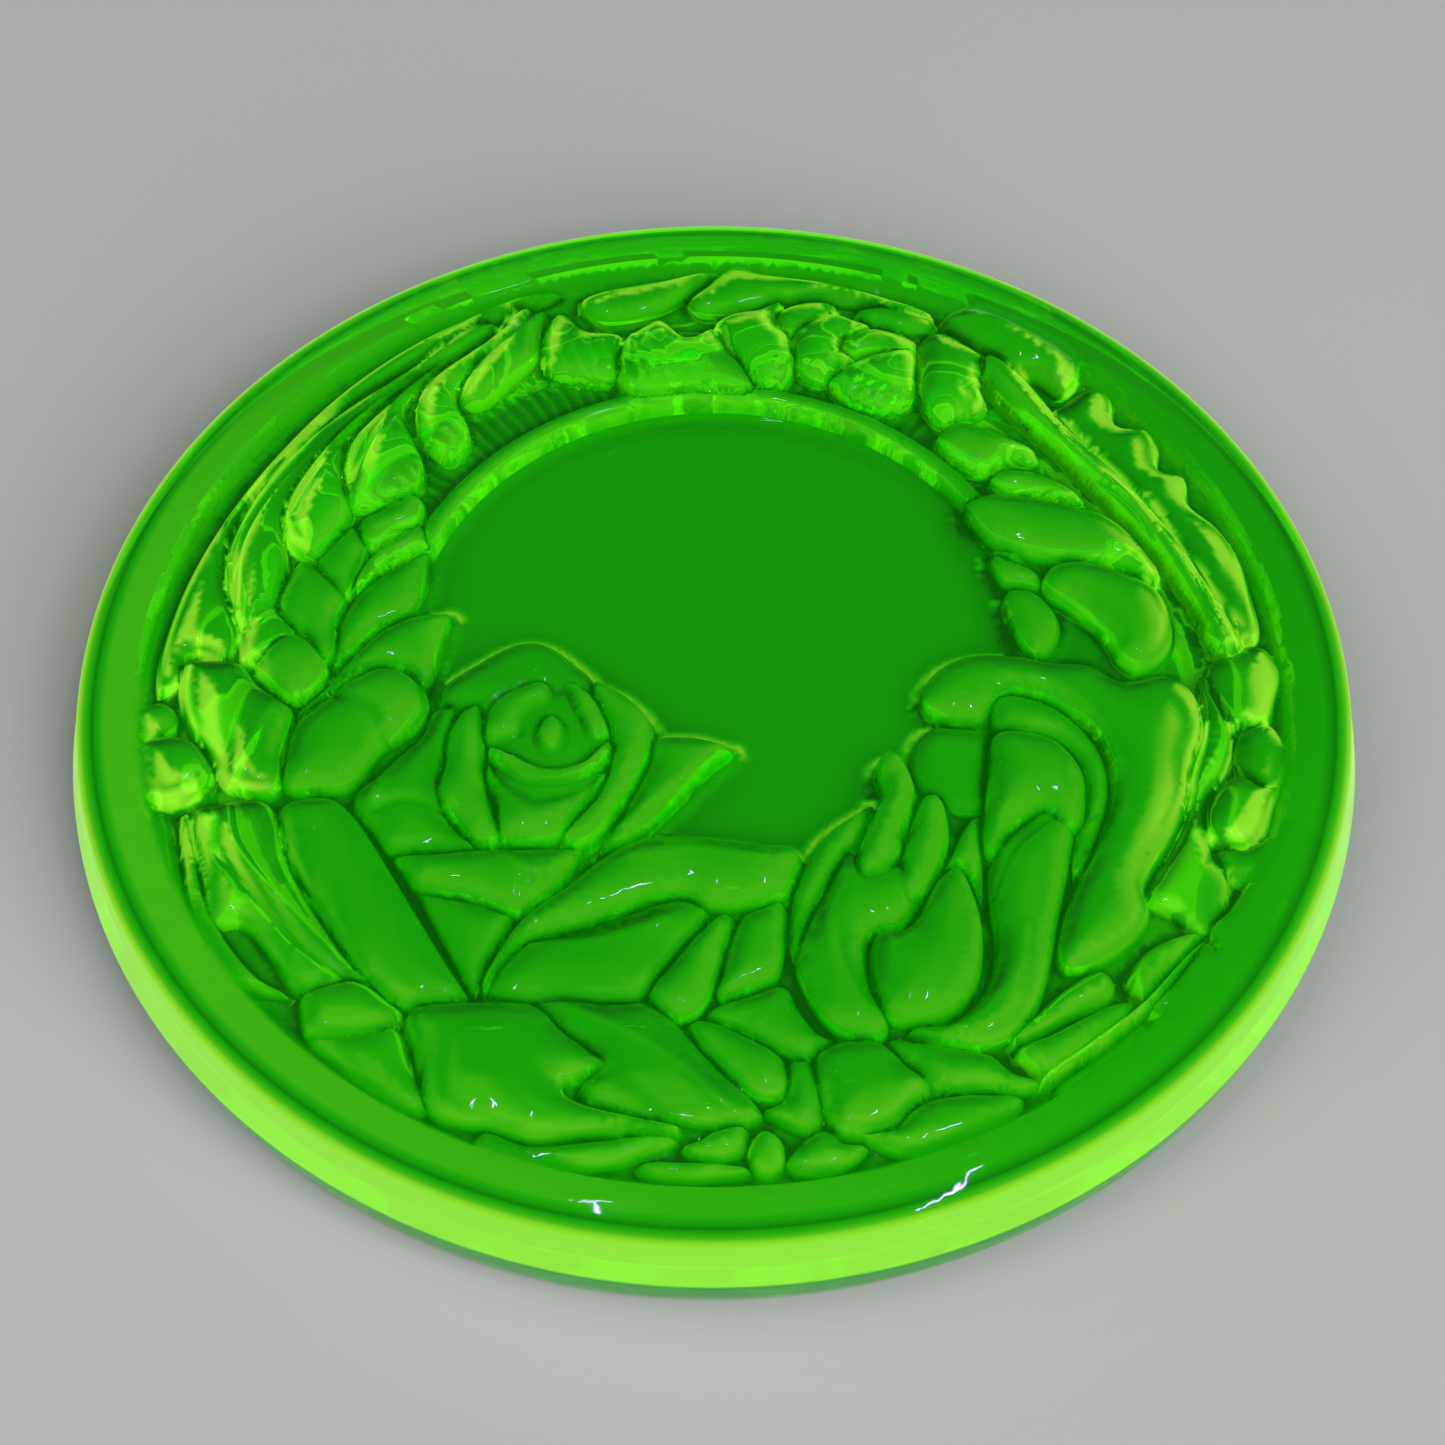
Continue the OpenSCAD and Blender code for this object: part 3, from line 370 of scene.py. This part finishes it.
# %% The ribbed leaf
press([
    (0.56, [(43, -36.8), (45, -33.5), (48, -31.5), (52, -30.4, 1), (50.2, -33), (47.7, -36.5), (45.2, -40),
         (43.5, -38.5)]),
    (0.48, [(30.5, -45), (34, -40.5), (37, -37.5), (40.5, -35.5), (42, -37), (41.3, -39.3), (38, -41),
         (33, -44.3)]),
    (0.6, [(31, -45.9), (35, -43.6), (39, -41.2), (42.5, -39.6), (44.7, -40.3), (41.2, -44), (36.2, -48.5),
         (34.3, -49.4), (32.3, -47.5)]),
    (0.44, [(45, -40.8), (47.5, -37.2), (50, -33.6), (52, -31.6), (52.4, -35), (50.3, -38.4),
         (47.6, -40.8)]),
    (0.36, [(35, -50.2), (40, -46), (44.3, -42.2), (45.2, -42.3), (42.8, -46.3), (40, -49.3),
         (37.4, -51.2)]),
    (0.7, [(33.6, -50.4), (39, -46.6), (45, -41.2), (49.5, -35.4), (52.6, -30.4, 1), (48.7, -35),
         (44.2, -40.4), (38.4, -45.6), (34.2, -49)]),
])

# %% [markdown]
# ## Veins, folds and hatching
# Fine lines were cut into the mould with a narrow tool, so they stand up on the glass as ridges
# or sink as grooves. Each one is a line, a height and a width.

# %% Fine lines
lines = []
def score(height, width, *routes):
    """Ridges (height above 0) or grooves (below 0) along the routes, in mm."""
    for route in routes:
        lines.append({"height": height, "width": width, "line": draw(route, 0.5, closed=False)})

# creases of the fan
score(-0.35, 0.4,
      [(-24, 54.5), (-36, 45.3), (-45.5, 34), (-51.8, 22), (-52.4, 12)],
      [(-24.5, 52.2), (-35, 43), (-43.3, 33), (-47, 25.5)],
      [(-23.5, 52.5), (-32, 44.5), (-37.8, 37), (-40.2, 30)])
# folds of the rose
score(-0.5, 0.5,
      [(-21.6, -10.6), (-18, -11.8), (-14.6, -10.8), (-12.4, -9)],
      [(-28.6, -15.6), (-33, -14.4), (-36.4, -15.4)])
score(0.4, 0.6,
      [(-28.6, -3), (-29.6, -8), (-29.8, -13)],
      [(-31.5, -4.8), (-34.5, -9.2), (-36.4, -14)],
      [(0.6, -6.8), (-4.4, -11.8), (-9.6, -17.6)],
      [(-23, -21.4), (-19, -24), (-15.2, -22)])
# veins of the leaves
score(0.35, 0.6,
      [(-9, -22.5), (-2, -21.6), (5.5, -22.6)], [(-19.5, -33), (-12, -32.6), (-5, -30)],
      [(14, -24), (12.4, -29), (13, -35), (15.6, -41)], [(23.6, -24.5), (22.8, -29), (20.4, -32.8)],
      [(25.8, -23), (27.2, -27), (28, -30)], [(33, -31), (32, -36.5), (28, -41.5), (24, -44.4)],
      [(43.4, -9), (43.8, -15), (41, -21)], [(31.4, 2.4), (37, 1.2), (41.6, -3.4), (43.6, -9)],
      [(-16, -40.5), (-9, -44), (-3, -48.5), (1.2, -53)],
      [(-11, -47.4), (-15.4, -50.2), (-9.5, -53.2), (-1, -54.8)],
      [(-52, -15), (-51, -20), (-46, -27), (-40, -34)], [(-47.5, -1.5), (-49.6, -6), (-51.5, -10)])
score(-0.45, 0.4,
      [(-52.6, -21), (-48, -27), (-43.5, -33), (-39, -36.6)], [(-58.6, -16), (-57.2, -23), (-53.6, -32)],
      [(34.8, -50.6), (44.4, -41), (52.4, -30.8)], [(32.2, 45.6), (38.8, 36.4), (48.6, 24.4), (55.4, 9)],
      [(31.4, 44.4), (37.6, 35.6), (47.2, 23.8), (54, 8.6)], [(36.4, -16.4), (32, -21), (29.6, -27)])

# %% Hatching between the fan and the bead
HATCH_TURN = 2.3  # degrees between hatch lines
def spoke(turn, radii):
    """Points on a line that runs out from the middle of the well."""
    return [(WELL_X + r * math.cos(turn), WELL_Y + r * math.sin(turn)) for r in radii]


for turn in np.radians(np.arange(98, 152, HATCH_TURN)):
    inner, outer = 36.6, 42.2 - 1.2 * math.cos(5 * turn)
    score(0.32, 0.4, spoke(turn, (inner, (inner + outer) / 2, outer)))
for turn in np.radians(np.arange(52, 80, HATCH_TURN)):
    score(0.3, 0.4, spoke(turn, (36.4, 37.8, 39.4)))
print(len(lines), "fine lines")

# %% [markdown]
# ## Laying out the points of the face
# A grid of square faces would saw-tooth every outline. A filled ring per petal would need
# a hundred booleans. Instead, all the outlines go into one Delaunay fill, which keeps each outline
# as real edges and joins up the points between them. Rows of points just inside and outside
# each outline give the wall and the rounded shoulder of the petal.

# %% Measuring from an outline
def inset_of(line, xy, closed=True):
    """Distance in mm from each point to the line: positive inside a closed one."""
    a, b = (line, np.roll(line, -1, 0)) if closed else (line[:-1], line[1:])
    step = b - a
    gap = xy[:, None, :] - a[None]
    share = np.clip((gap * step).sum(-1) / np.maximum((step * step).sum(-1), 1e-9), 0, 1)
    near = np.sqrt(((gap - share[..., None] * step) ** 2).sum(-1).min(1))
    if not closed:
        return near
    x, y = xy[:, :1], xy[:, 1:]
    straddles = (a[:, 1] > y) != (b[:, 1] > y)
    slope = np.where(np.abs(step[:, 1]) < 1e-12, 1e-12, step[:, 1])
    left_of = x < a[:, 0] + step[:, 0] * (y - a[:, 1]) / slope
    inside = (straddles & left_of).sum(1) % 2 == 1
    return np.where(inside, near, -near)


def beside(line, offset, closed=True):
    """The line moved sideways, without the stretches that would fold over."""
    if closed:
        ahead, behind = np.roll(line, -1, 0), np.roll(line, 1, 0)
    else:
        ahead, behind = np.vstack([line[1:], line[-1:]]), np.vstack([line[:1], line[:-1]])
    way = ahead - behind
    way /= np.maximum(np.linalg.norm(way, axis=1), 1e-9)[:, None]
    x, y = line.T
    spin = np.sign((x * np.roll(y, -1) - np.roll(x, -1) * y).sum()) if closed else 1
    moved = line + offset * spin * np.stack([-way[:, 1], way[:, 0]], 1)
    return moved[np.abs(inset_of(line, moved, closed)) > 0.93 * abs(offset)]

# %% Spreading the points
FACE_R = CREST_R
LATTICE = 0.62
near_sets = []
loops = [(petal["line"], True) for petal in petals] + [(line["line"], False) for line in lines]
def circle(x, y, radius, count):
    turns = np.arange(count) * 2 * math.pi / count
    return np.array([(x + radius * math.cos(t), y + radius * math.sin(t)) for t in turns])


ring = circle(0, 0, FACE_R, AROUND)
for petal in petals:
    near_sets += [beside(petal["line"], d) for d in (0.22, 0.65, 1.3, -0.22)]
for line in lines:
    near_sets += [beside(line["line"], s * d * line["width"], False) for s in (-1, 1) for d in (0.6, 1.3)]
for r in np.arange(WELL_R - 0.6, WELL_R + 3.2, 0.3):
    near_sets.append(circle(WELL_X, WELL_Y, r, 300))
near_sets += [ring * share for share in (0.9925, 0.985, 0.9775)]
# rows set back by half a step, so the fill makes nearly even triangles
xs, rows = np.arange(-FACE_R, FACE_R, LATTICE), np.arange(-FACE_R, FACE_R, LATTICE * 0.866)
lattice = np.array([(x + (i % 2) * LATTICE / 2, y) for i, y in enumerate(rows) for x in xs])


def thin(keep, more, gap):
    """Adds points that stay at least a gap from those already there."""
    taken = {}
    for p in keep:
        taken.setdefault((int(p[0] // gap), int(p[1] // gap)), []).append(p)
    kept = []
    for p in more:
        cx, cy = int(p[0] // gap), int(p[1] // gap)
        close = any((q[0] - p[0]) ** 2 + (q[1] - p[1]) ** 2 < gap * gap
                    for i in (cx - 1, cx, cx + 1) for j in (cy - 1, cy, cy + 1) for q in taken.get((i, j), ()))
        if not close and p[0] ** 2 + p[1] ** 2 < (FACE_R - 0.3) ** 2:
            taken.setdefault((cx, cy), []).append(p)
            kept.append(p)
    return kept


fixed = [tuple(p) for p in ring]
edges = [(i, (i + 1) % AROUND) for i in range(AROUND)]
for line, closed in loops:
    first = len(fixed)
    inner = [tuple(p) for p in line if p[0] ** 2 + p[1] ** 2 < (FACE_R - 0.4) ** 2]
    fixed += inner
    edges += [(first + i, first + i + 1) for i in range(len(inner) - 1)
              if (inner[i][0] - inner[i + 1][0]) ** 2 + (inner[i][1] - inner[i + 1][1]) ** 2 < 2]
    if closed and len(inner) == len(line):
        edges.append((first + len(inner) - 1, first))
free = thin(fixed, [tuple(p) for rows_ in near_sets for p in rows_], 0.17)
free += thin(fixed + free, [tuple(p) for p in lattice], 0.42)
print(len(fixed), "points on outlines,", len(free), "between them")

# %% Filling the face
spots, _, faces, *_ = delaunay_2d_cdt([Vector(p) for p in fixed + free], edges, [], 0, 1e-4, False)
xy = np.array([(p.x, p.y) for p in spots])
print("face fill:", len(xy), "points,", len(faces), "triangles")

# %% [markdown]
# ## Heights
# The ground is a plain level with the well sunk in it and a rounded bead round the well's far side.
# A petal springs up at its outline, rounds over like a cushion and levels off towards its middle.

# %% The ground
def ease(t):
    """A smooth step from 0 to 1."""
    t = np.clip(t, 0, 1)
    return t * t * (3 - 2 * t)


from_middle = np.hypot(xy[:, 0], xy[:, 1])
from_well = np.hypot(xy[:, 0] - WELL_X, xy[:, 1] - WELL_Y)
bearing = np.degrees(np.arctan2(xy[:, 1] - WELL_Y, xy[:, 0] - WELL_X))
sunk = WELL_Z + (GROUND_Z - WELL_Z) * ease((from_well - WELL_R) / 0.6)
bead = np.sqrt(np.clip(1 - ((from_well - WELL_R - 1.3) / 1.35) ** 2, 0, 1)) * 1.4
shown = ease((bearing - 8) / 14) * ease((168 - bearing) / 14)
ground = np.where(bead * shown > 0, np.maximum(sunk, GROUND_Z + bead * shown), sunk)

# %% The petals
SHOULDER_W, FILLET_W = 1.2, 1.2  # mm inside and outside the outline
height = ground.copy()
fillet = np.zeros(len(xy))
owner = np.full(len(xy), -1)
crown = np.full(len(xy), 0.5)
for order, petal in enumerate(petals):
    line = petal["line"]
    low, high = line.min(0) - 2.5, line.max(0) + 2.5
    near = np.where(((xy > low) & (xy < high)).all(1))[0]
    inset = inset_of(line, xy[near])
    soft = min(6.0, max(inset.max(), 0.5))
    swell = 1 - (1 - np.clip(inset / soft, 0, 1)) ** 2
    shoulder = np.sqrt(1 - (1 - np.clip(inset / min(SHOULDER_W, soft), 0, 1)) ** 2)
    rise = RISE * petal["share"] * (0.20 + 0.38 * shoulder + 0.42 * swell)
    wins = (inset > -0.01) & (GROUND_Z + rise > height[near])
    height[near[wins]] = GROUND_Z + rise[wins]
    owner[near[wins]] = order
    crown[near[wins]] = swell[wins]
    foot = np.clip(1 + inset / FILLET_W, 0, 1) * (inset < 0)
    fillet[near] = np.maximum(fillet[near], foot ** 2 * min(0.5, RISE * petal["share"] * 0.14))
height = np.maximum(height, ground + fillet)

# %% The chased line between neighbours
# a seam runs wherever two points joined by an edge belong to different petals
SEAM_DEPTH, SEAM_W = 0.34, 0.30
tri = np.array(faces)
sides = np.vstack([tri[:, [0, 1]], tri[:, [1, 2]], tri[:, [2, 0]]])
sides = sides[owner[sides[:, 0]] != owner[sides[:, 1]]]
seam = np.unique(np.round(xy[sides].mean(1), 2), axis=0)
tree = KDTree(len(seam))
for i, (x, y) in enumerate(seam):
    tree.insert((x, y, 0), i)
tree.balance()
found = [tree.find((x, y, 0)) for x, y in xy]
to_seam = np.array([f[2] for f in found])
faces_back = (xy[:, 1] - np.array([f[0].y for f in found])) / np.maximum(to_seam, 1e-6)
chased = np.exp(-(to_seam / SEAM_W) ** 2)
height -= SEAM_DEPTH * chased * ease((height - WELL_Z) / 0.8)
print(len(seam), "seam points")

# %% The fine lines and the lip
for line in lines:
    low, high = line["line"].min(0) - 2, line["line"].max(0) + 2
    near = np.where(((xy > low) & (xy < high)).all(1))[0]
    off = inset_of(line["line"], xy[near], closed=False)
    height[near] += line["height"] * np.exp(-(off / line["width"]) ** 2)
lip = ease((from_middle - (CREST_R - 1.6)) / 1.6)
height = height * (1 - lip) + CREST_Z * lip
height = np.minimum(height, TOP_Z - 0.02)
print("relief from", round(height.min(), 2), "to", round(height.max(), 2), "mm")

# %% [markdown]
# ## A glow that is painted on
# An even glow inside the glass would leave the relief hard to read. So the glow is painted instead:
# each point gets one number, by rules that aren't optics.
# The first rule is painted shade: a raised petal glows more than the groove beside it, so each point is
# compared with the average height round it, over a short and a long reach.
# The numbers stay with the mesh. They don't follow the camera, and they don't follow the lamps.

# %% Average height round each point
CELL = 0.35
cells = int(2 * FACE_R / CELL) + 3
col, row = ((xy + FACE_R) / CELL + 1).astype(int).T
def smoothed(values, reach):
    """A square map of the values, blurred over the reach in mm."""
    spot = col * cells + row
    maps = [np.bincount(spot, weights=w, minlength=cells ** 2).reshape(cells, cells)
            for w in (values, np.ones(len(values)))]
    taps = np.arange(-int(3 * reach / CELL), int(3 * reach / CELL) + 1)
    bell = np.exp(-0.5 * (taps * CELL / reach) ** 2)
    for axis in (0, 1):
        maps = [np.apply_along_axis(np.convolve, axis, m, bell, "same") for m in maps]
    return maps[0] / np.maximum(maps[1], 1e-6)


# painted shade: points lower than the average round them, in grooves and creases, get a smaller glow number,
# and raised points a larger one
fine = np.clip((height - smoothed(height, 0.6)[col, row]) / 0.45, -1, 1)
broad = np.clip((height - smoothed(height, 2.4)[col, row]) / 1.3, -1, 1)
slope_x, slope_y = (g[col, row] for g in np.gradient(smoothed(height, 0.7), CELL))

# %% Bands of light round the rim
BANDS = (60.5, 61.8, 62.8, 66.0, 67.4, 68.4, 68.9, 69.1)
def rim_glow(x, y):
    """Painted light and shade in bands: a dim groove, a crest that is dimmer on the right, a dim shoulder and
    the bright outer wall.
    """
    crest = 0.74 - 0.28 * math.cos(math.atan2(y, x) - 0.35)
    return float(np.interp(math.hypot(x, y), BANDS, (0.36, 0.46, crest, crest, 0.22, 1.1, 2.2, 2.5)))


# %% Glow of each point of the face
# light is assumed to come from the front and a little from the right
toward = np.clip(0.9 * slope_y - 0.45 * slope_x, -0.6, 0.7)
# bright patches in the outer leaves stand in for light caught inside the slab, and a made-up
# wave breaks up their edges
x, y = xy.T
outward = 0.5 * slope_y - 0.8 * (slope_x * x + slope_y * y) / np.maximum(from_middle, 1)
leaves = (ease((from_middle - 47) / 5) * (0.15 + 0.85 * ease((y + 32) / 16))
          * (owner >= 0) * (from_middle < 62))
wave = ease(0.75 + 0.6 * np.sin(7 * height + 0.5 * x - 0.3 * y))
escape = ease((outward - 0.03) / 0.07) * leaves * wave
# painted shade darkens the hatched ground, and a painted bright line lies in the well behind the petals that
# border it
hatched = (ease((from_well - WELL_R - 2.6) / 0.6) * ease((WELL_R + 9 - from_well) / 1.5)
           * (owner < 0) * (y > 20))
halo = (np.exp(-((to_seam - 0.8) / 0.5) ** 2) * (owner < 0)
        * (from_well < WELL_R - 1.5) * ease(0.3 + faces_back))
# the painted glow number: painted shade in the grooves, along the seams, at the petal edges, over the hatched
# ground and the outer leaves; painted light on slopes facing the front and right, in patches and as a bright
# line in the well
lit = (0.46 + 0.18 * fine + 0.22 * broad + 0.26 * (crown - 0.5) + 0.62 * toward
       - 0.12 * chased - 0.16 * hatched - 0.2 * leaves)
lit = np.clip(lit, 0.03, 1) + 1.7 * escape + 1.5 * halo
on_rim = ease((from_middle - 60.8) / 1.4)
lit = lit * (1 - on_rim) + on_rim * np.array([rim_glow(*p) for p in xy])
print("glow factor from", round(lit.min(), 2), "to", round(lit.max(), 2))

# %% [markdown]
# ## The body
# The edge, the shoulder, the foot ring and the hollow underneath are turned, so one outline
# spun round the axis makes them all.

# %% Turning the body
FOOT_IN, HOLLOW, SLOPE = FOOT_R - 8.5, 7.0, 11.0
# (radius, height) in mm: over the shoulder, down past the mould seam, then round under the foot
side = [(CREST_R, CREST_Z), (64.6, 12.52), (66.0, 12.2), (67.4, 11.76), (68.4, 11.44), (68.9, 11.24),
        (69.1, 11.02), (69.18, 10.7), (69.5, 8.2), (69.85, 5.6), (DISH_R, 4.9), (DISH_R, 4.4), (69.82, 3.8),
        (69.4, 2.1), (69.05, 1.0), (68.85, 0.5), (68.4, 0.12), (67.9, 0.0), (FOOT_IN, 0.0)]
side += [(FOOT_IN - SLOPE * t, HOLLOW * t * t * (3 - 2 * t)) for t in np.arange(1, 17) / 16]
bm = bmesh.new()
glow_layer = bm.verts.layers.float.new("lit")
chain = [bm.verts.new((r, 0, z)) for r, z in side]
for a, b in zip(chain, chain[1:]):
    bm.edges.new((a, b))
bmesh.ops.spin(bm, geom=bm.verts[:] + bm.edges[:], cent=(0, 0, 0), axis=(0, 0, 1),
               angle=2 * math.pi, steps=AROUND, use_merge=True)
inner_edge = [e for e in bm.edges if e.is_boundary and e.verts[0].co.z < 8]
bmesh.ops.contextual_create(bm, geom=inner_edge)
print("turned body:", len(bm.verts), "points")

# %% Setting the face into the body
SKIRT_TOP, SKIRT_R = 4.8, 68.2
# painted light: glow numbers for the body, the rim bands above the skirt and plain levels for the skirt and
# the underside
SKIRT_GLOW, UNDER_GLOW = 0.2, 0.42
for vert in bm.verts:
    under = SKIRT_GLOW if math.hypot(vert.co.x, vert.co.y) > SKIRT_R else UNDER_GLOW
    vert[glow_layer] = rim_glow(vert.co.x, vert.co.y) if vert.co.z > SKIRT_TOP else under
top = [bm.verts.new((x, y, z)) for (x, y), z in zip(xy, height)]
for vert, share in zip(top, lit):
    vert[glow_layer] = float(share)
for face in faces:
    bm.faces.new([top[i] for i in face])
bmesh.ops.remove_doubles(bm, verts=[v for v in bm.verts if v.is_boundary], dist=0.02)
loose = [v for v in bm.verts if not v.link_faces]
bmesh.ops.delete(bm, geom=loose, context="VERTS")
bmesh.ops.scale(bm, vec=(0.001, 0.001, 0.001), verts=bm.verts)
bmesh.ops.recalc_face_normals(bm, faces=bm.faces)
open_edges = [e for e in bm.edges if not e.is_manifold]
volume = bm.calc_volume(signed=True) * 1e6
print("closed mesh:", not open_edges, len(bm.faces), "faces, glass volume cm3", round(volume, 1))
mesh = bpy.data.meshes.new("dish_glass")
bm.to_mesh(mesh)
bm.free()
mesh.shade_smooth()
mesh.set_sharp_from_angle(angle=math.radians(40))
dish = bpy.data.objects.new("dish_glass", mesh)
bpy.context.scene.collection.objects.link(dish)
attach(dish, "root")
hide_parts("glass_dish")

# %% [markdown]
# ## The glass
# Most of the light passes through. The green is in the colour of the surface, and the glass
# itself soaks up blue. The painted number "lit" sets how strongly each point shines, and where it is
# low it darkens the surface colour as painted shade: dark green in the grooves, painted yellow-green light at
# the rim.
# Plain values sit on the shader's own sockets, and only what changes over the surface is wired.

# %% Uranium glass
glass = bpy.data.materials.new("uranium_glass")
glass.use_nodes = True
glass.cycles.emission_sampling = "NONE"
nodes, wires = glass.node_tree.nodes, glass.node_tree.links
shader = nodes["Principled BSDF"]
shader.inputs["Transmission Weight"].default_value = 0.84
shader.inputs["IOR"].default_value = 1.52
lit_here = nodes.new("ShaderNodeAttribute")
lit_here.attribute_name = "lit"
# how strongly it glows
strength = nodes.new("ShaderNodeMapRange")
strength.inputs["To Min"].default_value = 0.01
strength.inputs["To Max"].default_value = 0.215
strength.clamp = False
wires.new(lit_here.outputs["Fac"], strength.inputs["Value"])
wires.new(strength.outputs["Result"], shader.inputs["Emission Strength"])
# green, turning yellow where the glow is strongest
edge_glow = nodes.new("ShaderNodeMix")
edge_glow.data_type = "RGBA"
edge_glow.inputs["A"].default_value = (0.02, 1, 0.0005, 1)
edge_glow.inputs["B"].default_value = (0.48, 1, 0.045, 1)
rising = nodes.new("ShaderNodeMapRange")
rising.inputs["From Min"].default_value = 0.6
rising.inputs["From Max"].default_value = 1.7
wires.new(lit_here.outputs["Fac"], rising.inputs["Value"])
wires.new(rising.outputs["Result"], edge_glow.inputs["Factor"])
wires.new(edge_glow.outputs["Result"], shader.inputs["Emission Color"])
# painted shade: the surface colour goes from the glass's own green to dark green where the painted glow number
# is low, as in the grooves
glass_colour_and_shade = nodes.new("ShaderNodeMix")
glass_colour_and_shade.data_type = "RGBA"
glass_colour_and_shade.inputs["A"].default_value = (0.004, 0.24, 0.001, 1)
glass_colour_and_shade.inputs["B"].default_value = (0.04, 0.96, 0.003, 1)
sharp = nodes.new("ShaderNodeMapRange")
sharp.inputs["From Min"].default_value = 0.08
sharp.inputs["From Max"].default_value = 0.5
wires.new(lit_here.outputs["Fac"], sharp.inputs["Value"])
wires.new(sharp.outputs["Result"], glass_colour_and_shade.inputs["Factor"])
wires.new(glass_colour_and_shade.outputs["Result"], shader.inputs["Base Color"])

# %% Ripple of the mould on the surface
place = nodes.new("ShaderNodeTexCoord")
ripple = nodes.new("ShaderNodeTexNoise")
ripple.inputs["Scale"].default_value = 260
ripple.inputs["Detail"].default_value = 2
wires.new(place.outputs["Object"], ripple.inputs["Vector"])
bump = nodes.new("ShaderNodeBump")
bump.inputs["Strength"].default_value = 0.08
bump.inputs["Distance"].default_value = 0.0003
wires.new(ripple.outputs["Fac"], bump.inputs["Height"])
wires.new(bump.outputs["Normal"], shader.inputs["Normal"])
dull = nodes.new("ShaderNodeMapRange")
dull.inputs["To Min"].default_value = 0.01
dull.inputs["To Max"].default_value = 0.05
wires.new(ripple.outputs["Fac"], dull.inputs["Value"])
wires.new(dull.outputs["Result"], shader.inputs["Roughness"])
soak = nodes.new("ShaderNodeVolumeAbsorption")
soak.inputs["Color"].default_value = (0.98, 0.76, 0.0, 1)
soak.inputs["Density"].default_value = 60
wires.new(soak.outputs["Volume"], nodes["Material Output"].inputs["Volume"])
mesh.materials.append(glass)

# %% [markdown]
# ## Floor, light and camera
# The dish lies on a plain pale floor under two large soft lamps. Those lamps aren't seen in
# reflections, because they would cover the glass with a white sheen. Four thin violet tubes give
# the small glints instead. The camera looks down from the front at about 53 degrees.

# %% Floor
bm = bmesh.new()
bmesh.ops.create_grid(bm, x_segments=1, y_segments=1, size=3)
floor_mesh = bpy.data.meshes.new("floor")
bm.to_mesh(floor_mesh)
bm.free()
floor = bpy.data.objects.new("floor", floor_mesh)
bpy.context.scene.collection.objects.link(floor)
floor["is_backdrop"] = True
floor.location.z = -0.0002
paint = bpy.data.materials.new("pale_floor")
paint.use_nodes = True
paint.node_tree.nodes["Principled BSDF"].inputs["Base Color"].default_value = (0.72, 0.72, 0.71, 1)
paint.node_tree.nodes["Principled BSDF"].inputs["Roughness"].default_value = 0.8
floor_mesh.materials.append(paint)

# %% Light and camera
scene = bpy.context.scene
sky = bpy.data.worlds.new("studio")
scene.world = sky
sky.use_nodes = True
sky.node_tree.nodes["Background"].inputs["Color"].default_value = (0.92, 0.95, 1, 1)
sky.node_tree.nodes["Background"].inputs["Strength"].default_value = 0.06
def lamp(name, spot, size, power, colour):
    """An area lamp that faces the dish: a disc, or a thin strip for a tube."""
    light = bpy.data.lights.new(name, "AREA")
    light.shape, light.size, light.energy, light.color = "DISK", size, power, colour
    if name.startswith("tube"):
        light.shape, light.size_y = "RECTANGLE", 0.014
    holder = bpy.data.objects.new(name, light)
    scene.collection.objects.link(holder)
    holder.location = spot
    holder.rotation_euler = (-Vector(spot)).to_track_quat("-Z", "Y").to_euler()
lamp("key", (0.9, -1.25, 1.05), 2.4, 34, (1, 1, 1))
lamp("fill", (-1.5, -0.4, 1.1), 3.0, 16, (1, 1, 1))
for name in ("key", "fill"):
    bpy.data.objects[name].visible_glossy = bpy.data.objects[name].visible_transmission = False
for i, spot in enumerate(((-0.20, 0.02, 1.8), (-0.20, 0.12, 1.8), (0.45, -0.1, 1.7), (0.45, 0.0, 1.7))):
    lamp(f"tube_{i}", spot, 0.2, 0.3, (0.6, 0.45, 1))
distance, tilt = 9 * DISH_R / 1000, math.radians(53.1)
camera = bpy.data.cameras.new("camera")
camera.sensor_width, camera.lens, camera.clip_start = 36, 144.3, 0.01
camera.shift_x, camera.shift_y = 0.0059, -0.0087
eye = bpy.data.objects.new("camera", camera)
scene.collection.objects.link(eye)
aim = Vector((0, 0, 0.0098))
eye.location = aim + distance * Vector((0, -math.cos(tilt), math.sin(tilt)))
eye.rotation_euler = (aim - eye.location).to_track_quat("-Z", "Y").to_euler()
scene.camera = eye
scene.view_settings.view_transform = "Standard"
scene.cycles.max_bounces = 32
scene.cycles.glossy_bounces = scene.cycles.transmission_bounces = 24
scene.cycles.caustics_refractive = scene.cycles.caustics_reflective = False

# %% Measure the size and finish
low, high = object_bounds()
